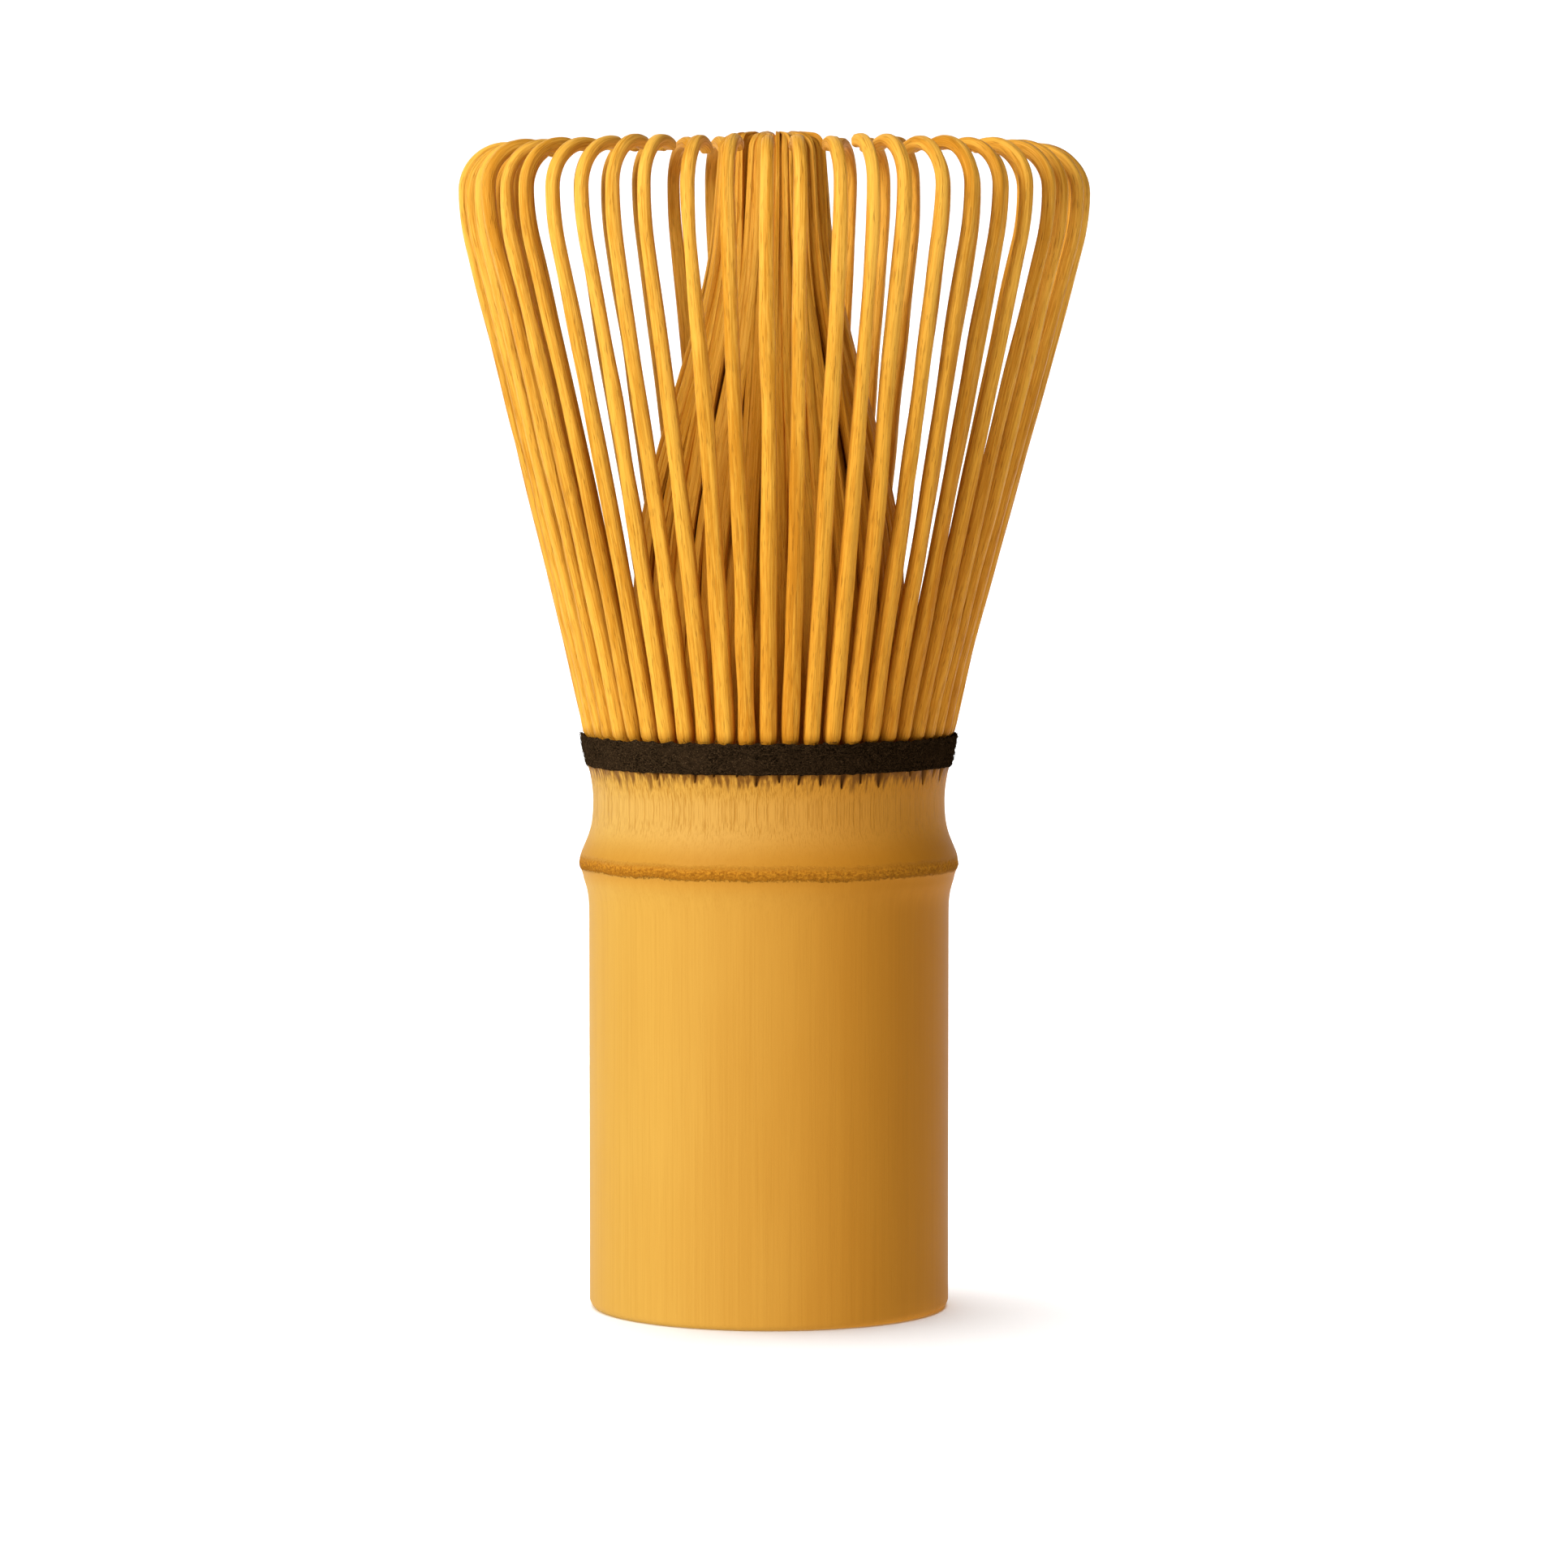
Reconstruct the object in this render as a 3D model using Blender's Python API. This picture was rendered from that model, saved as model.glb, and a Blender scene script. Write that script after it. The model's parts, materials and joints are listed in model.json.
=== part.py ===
"""Bamboo tea whisk: a culm grip with its node, a ring of springy outer tines that hook inwards,
a heart of inner tines gathered to a cone, and the thread that binds and parts them.

Metres, +Z up. The origin is the centre of the grip's base, and the whisk stands on that base.
The tines of a real whisk are split from the same culm as the grip. Here each one is a piece of
its own, with its origin on the line at its root where the bamboo bends.
"""

import math

import bmesh
import bpy
from mathutils import Matrix, Vector

MM = 0.001

# Grip: a length of culm with one node. The radii are those of its outer skin.
GRIP_RADIUS = 16.6 * MM
NECK_RADIUS = 16.2 * MM
NODE_RADIUS = 17.45 * MM
NODE_Z = 41.1 * MM
NODE_SWELL_BELOW = 2.0 * MM
NODE_SWELL_ABOVE = 2.6 * MM
SWELL_STARTS = 2.2
NECK_WAIST_Z = 46.8 * MM
NECK_FLARE = 0.35 * MM
BORE_RADIUS = 12.9 * MM
NECK_BORE_RADIUS = 12.3 * MM
SEPTUM_THICKNESS = 1.6 * MM
BASE_EDGE = 0.6 * MM
BASE_EDGE_STEPS = 2
RIM_Z = 50.5 * MM
RIM_RADIUS = 16.0 * MM
RIM_SHOULDER = 0.7 * MM
GRIP_SIDES = 48
GRIP_STATION = 1.3 * MM

# Splits that run down into the neck between the roots of the tines.
SPLIT_WIDTH = 0.25 * MM
SPLIT_DEPTH = 1.9 * MM

# Outer tines: straight and leaning out, then an easy shoulder and a tight hook inwards.
OUTER_COUNT = 53
ROOT_GAP = 0.3 * MM
ROOT_Z = RIM_Z + ROOT_GAP
OUTER_ROOT_RADIUS = 15.49 * MM
OUTER_LEAN = math.radians(14.7)
OUTER_THICKNESS = 1.3 * MM
OUTER_WIDTH_ROOT = 1.55 * MM
OUTER_WIDTH_TIP = 1.1 * MM
STRAIGHT_TOP_Z = 97.6 * MM
SHOULDER_RADIUS = 20.0 * MM
HOOK_RADIUS = 4.0 * MM
HOOK_TURN = math.radians(105)
HOOK_TIP = 0.7 * MM
SHOULDER_STEPS = 2
HOOK_STEPS = 6
HINGE_RISE = 0.15 * MM
# Corners of an outer tine's section as shares of its thickness and width, outwards first:
# a narrow inner face, wider shoulders and a crowned outer face.
OUTER_SECTION = ((-0.5, -0.42), (0.12, -0.5), (0.5, -0.24), (0.5, 0.24), (0.12, 0.5), (-0.5, 0.42))

# Inner tines: three layers, each closer to the axis than the one before, in sectors that share a root.
SECTOR_COUNT = 3
SECTOR_LAYERS = (0, 1, 0, 2) * 4
SECTOR_GAP = 0.3 * MM
HEART_RADIUS = 13.25 * MM
HEART_TOP_RADIUS = 4.25 * MM
HEART_TOP_Z = 108.4 * MM
HEART_TAPER = 0.085
GATHER_FROM_Z = 62.0 * MM
GATHER_TO_Z = 94.0 * MM
LAYER_STEP = 1.25 * MM
LAYERS_PART_Z = 56.0 * MM
LAYERS_APART_Z = 82.0 * MM
HEART_WALL = 1.0 * MM
HEART_TIP_THICKNESS = 0.8 * MM
HEART_WIDTH_ROOT = 1.15 * MM
HEART_TIP_WIDTHS = (0.85 * MM, 0.62 * MM, 0.62 * MM)
COLLAR_TOP_Z = 52.0 * MM
HEART_STATIONS = 8

# Thread: turns bound outside the outer tines, and turns laced between them and the heart.
THREAD_DIAMETER = 0.6 * MM
THREAD_PITCH = 0.62 * MM
THREAD_TURNS = 4
THREAD_CLEARANCE = 0.2 * MM
THREAD_LOW_Z = 50.6 * MM
LACING_DIAMETER = 0.5 * MM
LACING_PITCH = 0.53 * MM
LACING_TURNS = 2.5
LACING_RADIUS = 14.25 * MM
LACING_LOW_Z = 51.1 * MM
THREAD_POINTS_PER_TURN = 40

FRONT = -math.pi / 2
BACK = math.pi / 2
CULM_SHARP = math.radians(35)
STRIP_SHARP = math.radians(50)
WELD = 0.001 * MM


def clear_scene():
    for obj in list(bpy.data.objects):
        bpy.data.objects.remove(obj)


def material(name, colour, roughness):
    made = bpy.data.materials.new(name)
    made.use_nodes = True
    shader = made.node_tree.nodes["Principled BSDF"]
    shader.inputs["Base Color"].default_value = (*colour, 1.0)
    shader.inputs["Roughness"].default_value = roughness
    shader.inputs["Metallic"].default_value = 0.0
    return made


def add_object(name, data, finish, origin=(0.0, 0.0, 0.0), turn=0.0):
    """An object at its origin, turned about Z, with its material on its own data."""
    obj = bpy.data.objects.new(name, data)
    bpy.context.scene.collection.objects.link(obj)
    obj.location = Matrix.Rotation(turn, 3, "Z") @ Vector(origin)
    obj.rotation_euler = (0.0, 0.0, turn)
    if not data.materials:
        data.materials.append(finish)
    return obj


def mesh_from(bm, name, smooth_angle=None):
    bmesh.ops.recalc_face_normals(bm, faces=bm.faces)
    mesh = bpy.data.meshes.new(name)
    bm.to_mesh(mesh)
    bm.free()
    if smooth_angle is not None:
        mesh.shade_smooth()
        mesh.set_sharp_from_angle(angle=smooth_angle)
    return mesh


def smoothstep(low, high, value):
    t = min(max((value - low) / (high - low), 0.0), 1.0)
    return t * t * (3.0 - 2.0 * t)


# ---------------------------------------------------------------- grip


def skin_radius(z):
    """Outer radius of the culm: a plain tube, a swollen node, and a waisted neck above it."""
    above = z > NODE_Z
    plain = NECK_RADIUS if above else GRIP_RADIUS
    reach = NODE_SWELL_ABOVE if above else NODE_SWELL_BELOW
    swell = (NODE_RADIUS - plain) * math.exp(-(((z - NODE_Z) / reach) ** 2))
    flare_run = max(z - NECK_WAIST_Z, 0.0) / (RIM_Z - NECK_WAIST_Z)
    return plain + swell + NECK_FLARE * flare_run**2


def grip_outline():
    """The culm's half section as (radius, height), from under the septum round to above it."""
    septum_low = NODE_Z - SEPTUM_THICKNESS / 2
    septum_high = NODE_Z + SEPTUM_THICKNESS / 2
    shoulder_z = RIM_Z - RIM_SHOULDER
    points = [
        (0.0, septum_low),
        (BORE_RADIUS - BASE_EDGE, septum_low),
        (BORE_RADIUS, septum_low - BASE_EDGE),
        (BORE_RADIUS, 0.0),
        (GRIP_RADIUS - BASE_EDGE, 0.0),
    ]
    for step in range(1, BASE_EDGE_STEPS + 1):
        angle = math.pi / 2 * step / BASE_EDGE_STEPS
        points.append(
            (
                GRIP_RADIUS - BASE_EDGE * (1 - math.sin(angle)),
                BASE_EDGE * (1 - math.cos(angle)),
            )
        )
    swell_low = NODE_Z - SWELL_STARTS * NODE_SWELL_BELOW
    count = math.ceil((shoulder_z - swell_low) / GRIP_STATION)
    for step in range(count + 1):
        z = swell_low + (shoulder_z - swell_low) * step / count
        points.append((skin_radius(z), z))
    points += [
        (RIM_RADIUS, RIM_Z - RIM_SHOULDER / 3),
        (RIM_RADIUS, RIM_Z),
        (NECK_BORE_RADIUS, RIM_Z),
        (NECK_BORE_RADIUS, septum_high + BASE_EDGE),
        (NECK_BORE_RADIUS - BASE_EDGE, septum_high),
        (0.0, septum_high),
    ]
    return points


def split_cutter():
    """Thin radial blades, one between each two outer tines, standing up through the rim."""
    bm = bmesh.new()
    reach = 2 * (GRIP_RADIUS - NECK_BORE_RADIUS)
    middle = (GRIP_RADIUS + NECK_BORE_RADIUS) / 2
    size = Matrix.Diagonal((reach, SPLIT_WIDTH, 2 * SPLIT_DEPTH, 1.0))
    place = Matrix.Translation((middle, 0.0, RIM_Z))
    for index in range(OUTER_COUNT):
        turn = Matrix.Rotation(FRONT + math.tau * (index + 0.5) / OUTER_COUNT, 4, "Z")
        bmesh.ops.create_cube(bm, size=1.0, matrix=turn @ place @ size)
    cutter = bpy.data.objects.new("split_cutter", mesh_from(bm, "split_cutter"))
    bpy.context.scene.collection.objects.link(cutter)
    cutter.hide_render = True
    cutter.display_type = "WIRE"
    return cutter


def build_grip(finish):
    bm = bmesh.new()
    verts = [bm.verts.new((radius, 0.0, z)) for radius, z in grip_outline()]
    edges = [bm.edges.new(pair) for pair in zip(verts, verts[1:])]
    bmesh.ops.spin(
        bm,
        geom=verts + edges,
        cent=(0.0, 0.0, 0.0),
        axis=(0.0, 0.0, 1.0),
        angle=math.tau,
        steps=GRIP_SIDES,
        use_merge=True,
    )
    bmesh.ops.remove_doubles(bm, verts=bm.verts, dist=WELD)
    grip = add_object("culm_grip", mesh_from(bm, "culm_grip", CULM_SHARP), finish)
    splits = grip.modifiers.new("splits", "BOOLEAN")
    splits.operation = "DIFFERENCE"
    splits.object = split_cutter()
    return grip


# ---------------------------------------------------------------- swept bamboo strips


def arc(centre, radius, start, end, steps):
    """Points after the first along an arc in the radial plane, as (radius, height, lean)."""
    made = []
    for step in range(1, steps + 1):
        angle = start + (end - start) * step / steps
        made.append(
            (
                centre[0] + radius * math.cos(angle),
                centre[1] + radius * math.sin(angle),
                -angle,
            )
        )
    return made


def outer_centreline():
    """Stations of one outer tine as (radius, height, lean). Lean is 0 upright and positive outwards."""
    rise = STRAIGHT_TOP_Z - ROOT_Z
    top = (OUTER_ROOT_RADIUS + rise * math.tan(OUTER_LEAN), STRAIGHT_TOP_Z)
    stations = [(OUTER_ROOT_RADIUS, ROOT_Z, 0.0), (*top, OUTER_LEAN)]
    shoulder_centre = (
        top[0] - SHOULDER_RADIUS * math.cos(OUTER_LEAN),
        top[1] + SHOULDER_RADIUS * math.sin(OUTER_LEAN),
    )
    stations += arc(
        shoulder_centre, SHOULDER_RADIUS, -OUTER_LEAN, 0.0, SHOULDER_STEPS
    )
    crest_radius, crest_z = stations[-1][:2]
    hook_centre = (crest_radius - HOOK_RADIUS, crest_z)
    stations += arc(hook_centre, HOOK_RADIUS, 0.0, HOOK_TURN, HOOK_STEPS)
    end_radius, end_z, end_lean = stations[-1]
    tip_radius = end_radius + HOOK_TIP * math.sin(end_lean)
    tip_z = end_z + HOOK_TIP * math.cos(end_lean)
    stations.append((tip_radius, tip_z, end_lean))
    return stations


def outer_section(radius, height, lean, width):
    """The corners of an outer tine's section, square to its run, for a tine that lies in the XZ plane."""
    out = Vector((math.cos(lean), 0.0, -math.sin(lean)))
    centre = Vector((radius, 0.0, height))
    return [
        centre + out * (OUTER_THICKNESS * across) + Vector((0.0, width * along, 0.0))
        for across, along in OUTER_SECTION
    ]


def bridge(bm, lower, upper):
    count = len(lower)
    for index in range(count):
        after = (index + 1) % count
        bm.faces.new((lower[index], lower[after], upper[after], upper[index]))


def build_outer_tines(finish):
    """The section swept along the centreline, once for each tine round the crown."""
    origin = Vector((OUTER_ROOT_RADIUS, 0.0, ROOT_Z + HINGE_RISE))
    stations = outer_centreline()
    tip_z = stations[-1][1]
    bm = bmesh.new()
    previous = None
    for radius, height, lean in stations:
        taper = min((height - ROOT_Z) / (tip_z - ROOT_Z), 1.0)
        width = OUTER_WIDTH_ROOT + (OUTER_WIDTH_TIP - OUTER_WIDTH_ROOT) * taper
        corners = outer_section(radius, height, lean, width)
        ring = [bm.verts.new(corner - origin) for corner in corners]
        if previous:
            bridge(bm, previous, ring)
        else:
            bm.faces.new(ring)
        previous = ring
    bm.faces.new(previous)
    mesh = mesh_from(bm, "outer_tine", STRIP_SHARP)
    return [
        add_object(
            f"outer_tine_{index + 1:02d}",
            mesh,
            finish,
            origin,
            FRONT + math.tau * index / OUTER_COUNT,
        )
        for index in range(OUTER_COUNT)
    ]


# ---------------------------------------------------------------- heart of inner tines


def heart_radius(z, layer):
    """Radius of an inner tine's centreline: a taper, plus the gathering-in, less its layer's step."""
    taper_run = HEART_TOP_Z - z
    bulge = HEART_RADIUS - HEART_TOP_RADIUS - HEART_TAPER * (HEART_TOP_Z - ROOT_Z)
    gathered = smoothstep(GATHER_FROM_Z, GATHER_TO_Z, z)
    parted = smoothstep(LAYERS_PART_Z, LAYERS_APART_Z, z)
    outermost = HEART_TOP_RADIUS + HEART_TAPER * taper_run + bulge * (1.0 - gathered)
    return outermost - layer * LAYER_STEP * parted


def heart_section(bm, angle, z, layer, origin):
    run = (z - COLLAR_TOP_Z) / (HEART_TOP_Z - COLLAR_TOP_Z)
    width = HEART_WIDTH_ROOT + (HEART_TIP_WIDTHS[layer] - HEART_WIDTH_ROOT) * run
    thickness = HEART_WALL + (HEART_TIP_THICKNESS - HEART_WALL) * run
    radius = heart_radius(z, layer)
    turn = Matrix.Rotation(angle, 3, "Z")
    corners = (
        (radius - thickness / 2, -width / 2),
        (radius + thickness / 2, -width / 2),
        (radius + thickness / 2, width / 2),
        (radius - thickness / 2, width / 2),
    )
    return [bm.verts.new(turn @ Vector((x, y, z)) - origin) for x, y in corners]


def build_heart_sectors(finish):
    """A short curved collar at the root with an equal share of the inner tines rising from it."""
    pitch = math.tau / (SECTOR_COUNT * len(SECTOR_LAYERS))
    angles = [pitch * (i - (len(SECTOR_LAYERS) - 1) / 2) for i in range(len(SECTOR_LAYERS))]
    half_span = math.pi / SECTOR_COUNT - SECTOR_GAP / 2 / HEART_RADIUS
    origin = Vector((HEART_RADIUS, 0.0, ROOT_Z + HINGE_RISE))
    inner, outer = HEART_RADIUS - HEART_WALL / 2, HEART_RADIUS + HEART_WALL / 2
    bm = bmesh.new()

    def column(angle):
        """Collar corners at one angle: inner low, outer low, outer high, inner high."""
        turn = Matrix.Rotation(angle, 3, "Z")
        corners = ((inner, ROOT_Z), (outer, ROOT_Z), (outer, COLLAR_TOP_Z), (inner, COLLAR_TOP_Z))
        return [bm.verts.new(turn @ Vector((r, 0.0, z)) - origin) for r, z in corners]

    first = column(-half_span)
    bm.faces.new(first)
    for angle, layer in zip(angles, SECTOR_LAYERS):
        foot = heart_section(bm, angle, COLLAR_TOP_Z, layer, origin)
        low = heart_section(bm, angle, ROOT_Z, layer, origin)
        near = [low[0], low[1], foot[1], foot[0]]
        far = [low[3], low[2], foot[2], foot[3]]
        bridge(bm, first, near)
        for start in (0, 1, 3):
            after = (start + 1) % 4
            bm.faces.new((near[start], near[after], far[after], far[start]))
        previous = foot
        for step in range(1, HEART_STATIONS + 1):
            z = COLLAR_TOP_Z + (HEART_TOP_Z - COLLAR_TOP_Z) * step / HEART_STATIONS
            ring = heart_section(bm, angle, z, layer, origin)
            bridge(bm, previous, ring)
            previous = ring
        bm.faces.new(previous)
        first = far
    last = column(half_span)
    bridge(bm, first, last)
    bm.faces.new(last)
    mesh = mesh_from(bm, "heart_sector", STRIP_SHARP)
    return [
        add_object(
            f"inner_tines_{index + 1}",
            mesh,
            finish,
            origin,
            FRONT + math.tau * index / SECTOR_COUNT,
        )
        for index in range(SECTOR_COUNT)
    ]


# ---------------------------------------------------------------- thread


def wound_thread(name, radius_at, low_z, pitch, turns, diameter, finish, sides_step):
    """A thread wound about Z as a helix from the back, with radius_at giving its radius at a height."""
    data = bpy.data.curves.new(name, "CURVE")
    data.dimensions = "3D"
    data.bevel_depth = diameter / 2
    data.bevel_resolution = sides_step
    data.use_fill_caps = True
    steps = round(turns * THREAD_POINTS_PER_TURN)
    spline = data.splines.new("POLY")
    spline.points.add(steps)
    for index, point in enumerate(spline.points):
        share = index / THREAD_POINTS_PER_TURN
        angle = BACK + math.tau * share
        z = low_z + pitch * share
        radius = radius_at(z)
        point.co = (radius * math.cos(angle), radius * math.sin(angle), z, 1.0)
    return add_object(name, data, finish)


def binding_radius(z):
    """Clear of the outer tines' outer faces, which lean out as they rise."""
    face = OUTER_THICKNESS / 2 / math.cos(OUTER_LEAN)
    tine = OUTER_ROOT_RADIUS + (max(z, ROOT_Z) - ROOT_Z) * math.tan(OUTER_LEAN) + face
    return tine + THREAD_CLEARANCE + THREAD_DIAMETER / 2


def lacing_radius(_z):
    return LACING_RADIUS


def build_threads(finish):
    wound_thread(
        "binding_thread",
        binding_radius,
        THREAD_LOW_Z,
        THREAD_PITCH,
        THREAD_TURNS,
        THREAD_DIAMETER,
        finish,
        1,
    )
    wound_thread(
        "lacing_thread",
        lacing_radius,
        LACING_LOW_Z,
        LACING_PITCH,
        LACING_TURNS,
        LACING_DIAMETER,
        finish,
        0,
    )


def build():
    clear_scene()
    bamboo_skin = material("bamboo_skin", (0.72, 0.45, 0.14), 0.45)
    split_bamboo = material("split_bamboo", (0.78, 0.45, 0.10), 0.6)
    black_thread = material("black_thread", (0.03, 0.022, 0.015), 0.9)
    build_grip(bamboo_skin)
    build_outer_tines(split_bamboo)
    build_heart_sectors(split_bamboo)
    build_threads(black_thread)


build()
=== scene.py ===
"""Looks of the bamboo tea whisk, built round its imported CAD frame.

Each CAD tine is stood for by a shaved strip with its own small irregularities, the heart by gathered
strands, the thread by a felted winding, and the culm by a turned grip with splits and a node scar.
"""

import json
import math
import random

import bpy
import numpy as np
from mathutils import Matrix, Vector


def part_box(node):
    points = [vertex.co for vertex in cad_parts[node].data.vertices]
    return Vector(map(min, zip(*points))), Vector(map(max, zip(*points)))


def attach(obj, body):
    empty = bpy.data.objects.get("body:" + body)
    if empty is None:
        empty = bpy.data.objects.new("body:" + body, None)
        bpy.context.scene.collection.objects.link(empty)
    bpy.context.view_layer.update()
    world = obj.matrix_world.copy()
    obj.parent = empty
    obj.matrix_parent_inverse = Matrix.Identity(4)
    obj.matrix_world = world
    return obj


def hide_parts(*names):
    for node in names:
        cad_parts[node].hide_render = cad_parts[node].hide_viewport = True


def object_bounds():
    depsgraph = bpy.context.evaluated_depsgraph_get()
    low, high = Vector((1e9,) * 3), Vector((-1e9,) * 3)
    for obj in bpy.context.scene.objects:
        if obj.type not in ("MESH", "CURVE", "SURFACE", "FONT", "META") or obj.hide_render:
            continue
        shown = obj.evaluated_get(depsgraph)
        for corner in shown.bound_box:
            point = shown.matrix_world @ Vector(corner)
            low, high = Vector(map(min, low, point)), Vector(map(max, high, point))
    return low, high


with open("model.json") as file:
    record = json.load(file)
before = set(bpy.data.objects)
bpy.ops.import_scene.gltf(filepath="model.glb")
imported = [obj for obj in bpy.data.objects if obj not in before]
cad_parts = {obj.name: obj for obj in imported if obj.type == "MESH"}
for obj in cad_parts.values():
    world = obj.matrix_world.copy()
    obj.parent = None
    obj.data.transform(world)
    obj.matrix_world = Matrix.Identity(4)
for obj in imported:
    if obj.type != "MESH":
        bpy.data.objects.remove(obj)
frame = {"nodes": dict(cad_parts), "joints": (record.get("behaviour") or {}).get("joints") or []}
cad_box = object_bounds()

MM = 0.001
ROOT_BODY = "grip_and_heart"
FRONT = -math.pi / 2

# Places taken from the frame.
GRIP_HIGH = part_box("culm_grip")[1]
NODE_RADIUS = GRIP_HIGH.x
RIM_Z = GRIP_HIGH.z
TOP_Z = cad_box[1].z
BINDING_LOW, BINDING_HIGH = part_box("binding_thread")
HEART_NODES = sorted(node for node in frame["nodes"] if node.startswith("inner_tines_"))
TINE_NODES = sorted(node for node in frame["nodes"] if node.startswith("outer_tine_"))
TINE_COUNT = len(TINE_NODES)
TINE_PITCH = math.tau / TINE_COUNT
TINE_LOW, TINE_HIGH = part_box(TINE_NODES[0])
CREST_Z = TINE_HIGH.z
ROOT_Z = TINE_LOW.z

# Outer tines.
ROOT_RADIUS = -frame["joints"][0]["pos_m"][1]
TINE_LEAN = math.radians(14.7)
TINE_HALF_THICKNESS = 0.63 * MM
TINE_HALF_WIDTH = 0.83 * MM
TINE_WIDTH_SHRINK = 0.30
SHOULDER_RADIUS = 20.0 * MM
HOOK_RADIUS = 4.0 * MM
HOOK_TURN = math.radians(105)
HOOK_TIP = 0.7 * MM
TINE_SIDES = 18
TINE_GROOVE = 0.022 * MM
TINE_TIP_LENGTH = 0.55 * MM
TINE_WAVER = 0.19 * MM
TINE_WAVER_OUT = 0.20 * MM
ROOT_END_LENGTH = 0.2 * MM
SWELL_LOW_Z = BINDING_HIGH.z - 0.5 * MM
SWELL_HIGH_Z = BINDING_HIGH.z + 0.45 * MM
ROOT_SWELL = 0.33 * MM
ROOT_SWELL_FADE = 5.0 * MM
# How far tines lean round the crown at their crests, in degrees: all of them towards the left, those
# between the front and the sides the most, and a few further by their number from the front.
LEFTWARD_LEAN = 1.5
QUARTER_LEAN = 4.2
LEANING_TINES = {0: 0.2, 2: 0.4, 3: -0.2, 4: -0.8, 41: 0.5, 46: -0.8, 50: -0.8, 51: 0.7}
# The whole crown sits a little towards +X, and its crests rise towards the back, by so much in all.
CROWN_SHIFT = 0.62 * MM
BACK_RISE = 1.8 * MM

# Heart of inner tines. It is gathered between two heights and its layers part between two others. Its
# radius grows by HEART_TAPER for each unit of height below the top, and its top sits towards +X.
HEART_COUNT = 48
HEART_LAYERS = (0, 1, 0, 2)
HEART_RADIUS = 13.25 * MM
HEART_TOP_RADIUS = 4.20 * MM
HEART_TAPER = 0.080
GATHER_FROM_Z = 68.0 * MM
GATHER_TO_Z = 100.0 * MM
HEART_SHIFT = 0.33 * MM
LAYER_STEP = 1.25 * MM
LAYERS_PART_Z = 56.0 * MM
LAYERS_APART_Z = 82.0 * MM
HEART_BEND_RADIUS = 1.2 * MM
INNER_LAYER_SHARE = 1.15
STRAND_WIDEST = 0.98 * MM
STRAND_COVER = 0.56
STRAND_SIDES = 16
STRAND_GROOVE = 0.045 * MM
STRAND_TIP_LENGTH = 0.5 * MM
STRAND_WAVER = 0.30 * MM
STRAND_WAVER_OUT = 0.18 * MM
STRAND_HALF_DEPTH = 0.46 * MM
STRAND_SLANT = 0.5 * MM
SPLINTER_HALF_DEPTH = 0.30 * MM
SPLINTER_LIFT = 0.24 * MM
SPLINTER_SLANT = 1.1 * MM

# Threads.
FELT_LOW_RADIUS = 16.92 * MM
FELT_LEAN = (BINDING_HIGH.x - 16.95 * MM) / (BINDING_HIGH.z - BINDING_LOW.z)
FELT_BELOW = 0.05 * MM
FELT_SHORT_OF_TOP = 0.28 * MM
FELT_EDGE = 0.15 * MM
FELT_SCALLOP = 0.17 * MM
FELT_CREASE = 0.16 * MM
FELT_CREASE_WIDTH = 0.16 * MM
FELT_TURN_PITCH = 0.52 * MM
FELT_TURN_RIDGE = 0.035 * MM
FELT_FINE_FUZZ = 0.070 * MM
FELT_BROAD_FUZZ = 0.04 * MM
LOOSE_FIBRES = 1500
LACING_DIAMETER = 0.5 * MM
LACING_TURNS = 2.5
LACING_TWISTS = 62
PLY_RADIUS = 0.13 * MM
PLY_OFFSET = 0.11 * MM

# Culm.
GRIP_RADIUS = 16.6 * MM
NECK_RADIUS = 16.2 * MM
NODE_Z = 41.2 * MM
BORE_RADIUS = 12.9 * MM
NECK_BORE_RADIUS = 12.3 * MM
SEPTUM_LOW_Z = 40.3 * MM
SEPTUM_HIGH_Z = 41.9 * MM
BASE_EDGE = 0.7 * MM
SCAR_Z = 41.15 * MM
CLEFT_DEPTH = 0.32 * MM
ROUND_RIM = 1.5 * MM
# Heights where the skin's look changes, in millimetres.
PALE_BAND = (42.0, 45.0, 47.0, 49.5)
FIBROUS_NECK = (42.4, 47.0)
THREAD_STAIN = (48.9, 50.4)

# Colours, as linear red, green and blue. Those of painted shade on the +X side and of painted light
# towards the crown multiply the others.
STRIP_DEEP = (0.565, 0.228, 0.013)
STRIP_PALE = (0.84, 0.430, 0.050)
STRIP_PIT = (0.30, 0.100, 0.005)
STRIP_PAINTED_SHADE = (0.46, 0.150, 0.003)
STRIP_PAINTED_SIDE_SHADE = (0.92, 0.77, 0.52)
STRIP_PAINTED_CROWN_LIGHT = (1.11, 1.14, 1.36)
SKIN_DEEP = (0.600, 0.322, 0.052)
SKIN_PALE = (0.630, 0.346, 0.058)
SKIN_CLOUD = (0.66, 0.385, 0.073)
SKIN_NECK = (0.74, 0.46, 0.14)
SKIN_PAINTED_SIDE_SHADE = (0.87, 0.60, 0.25)
SKIN_FIBRE = (0.40, 0.160, 0.012)
SKIN_HAIR = (0.38, 0.150, 0.010)
SCAR_DEEP = (0.25, 0.064, 0.002)
SCAR_PALE = (0.66, 0.270, 0.018)
SCAR_LIP = (0.24, 0.075, 0.003)
SCAR_HALO = (0.50, 0.190, 0.012)
STAIN = (0.16, 0.057, 0.008)
SPLIT_BROWN = (0.19, 0.068, 0.008)
SPLIT_PAINTED_SHADE = (0.085, 0.030, 0.006)
PITH_DEEP = (0.62, 0.44, 0.20)
PITH_PALE = (0.72, 0.55, 0.29)
THREAD_BLACK = (0.0060, 0.0032, 0.0014)
THREAD_BROWN = (0.046, 0.0265, 0.0125)
THREAD_PATCH = (0.038, 0.0215, 0.0100)
THREAD_SPECK = (0.16, 0.098, 0.047)
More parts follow.
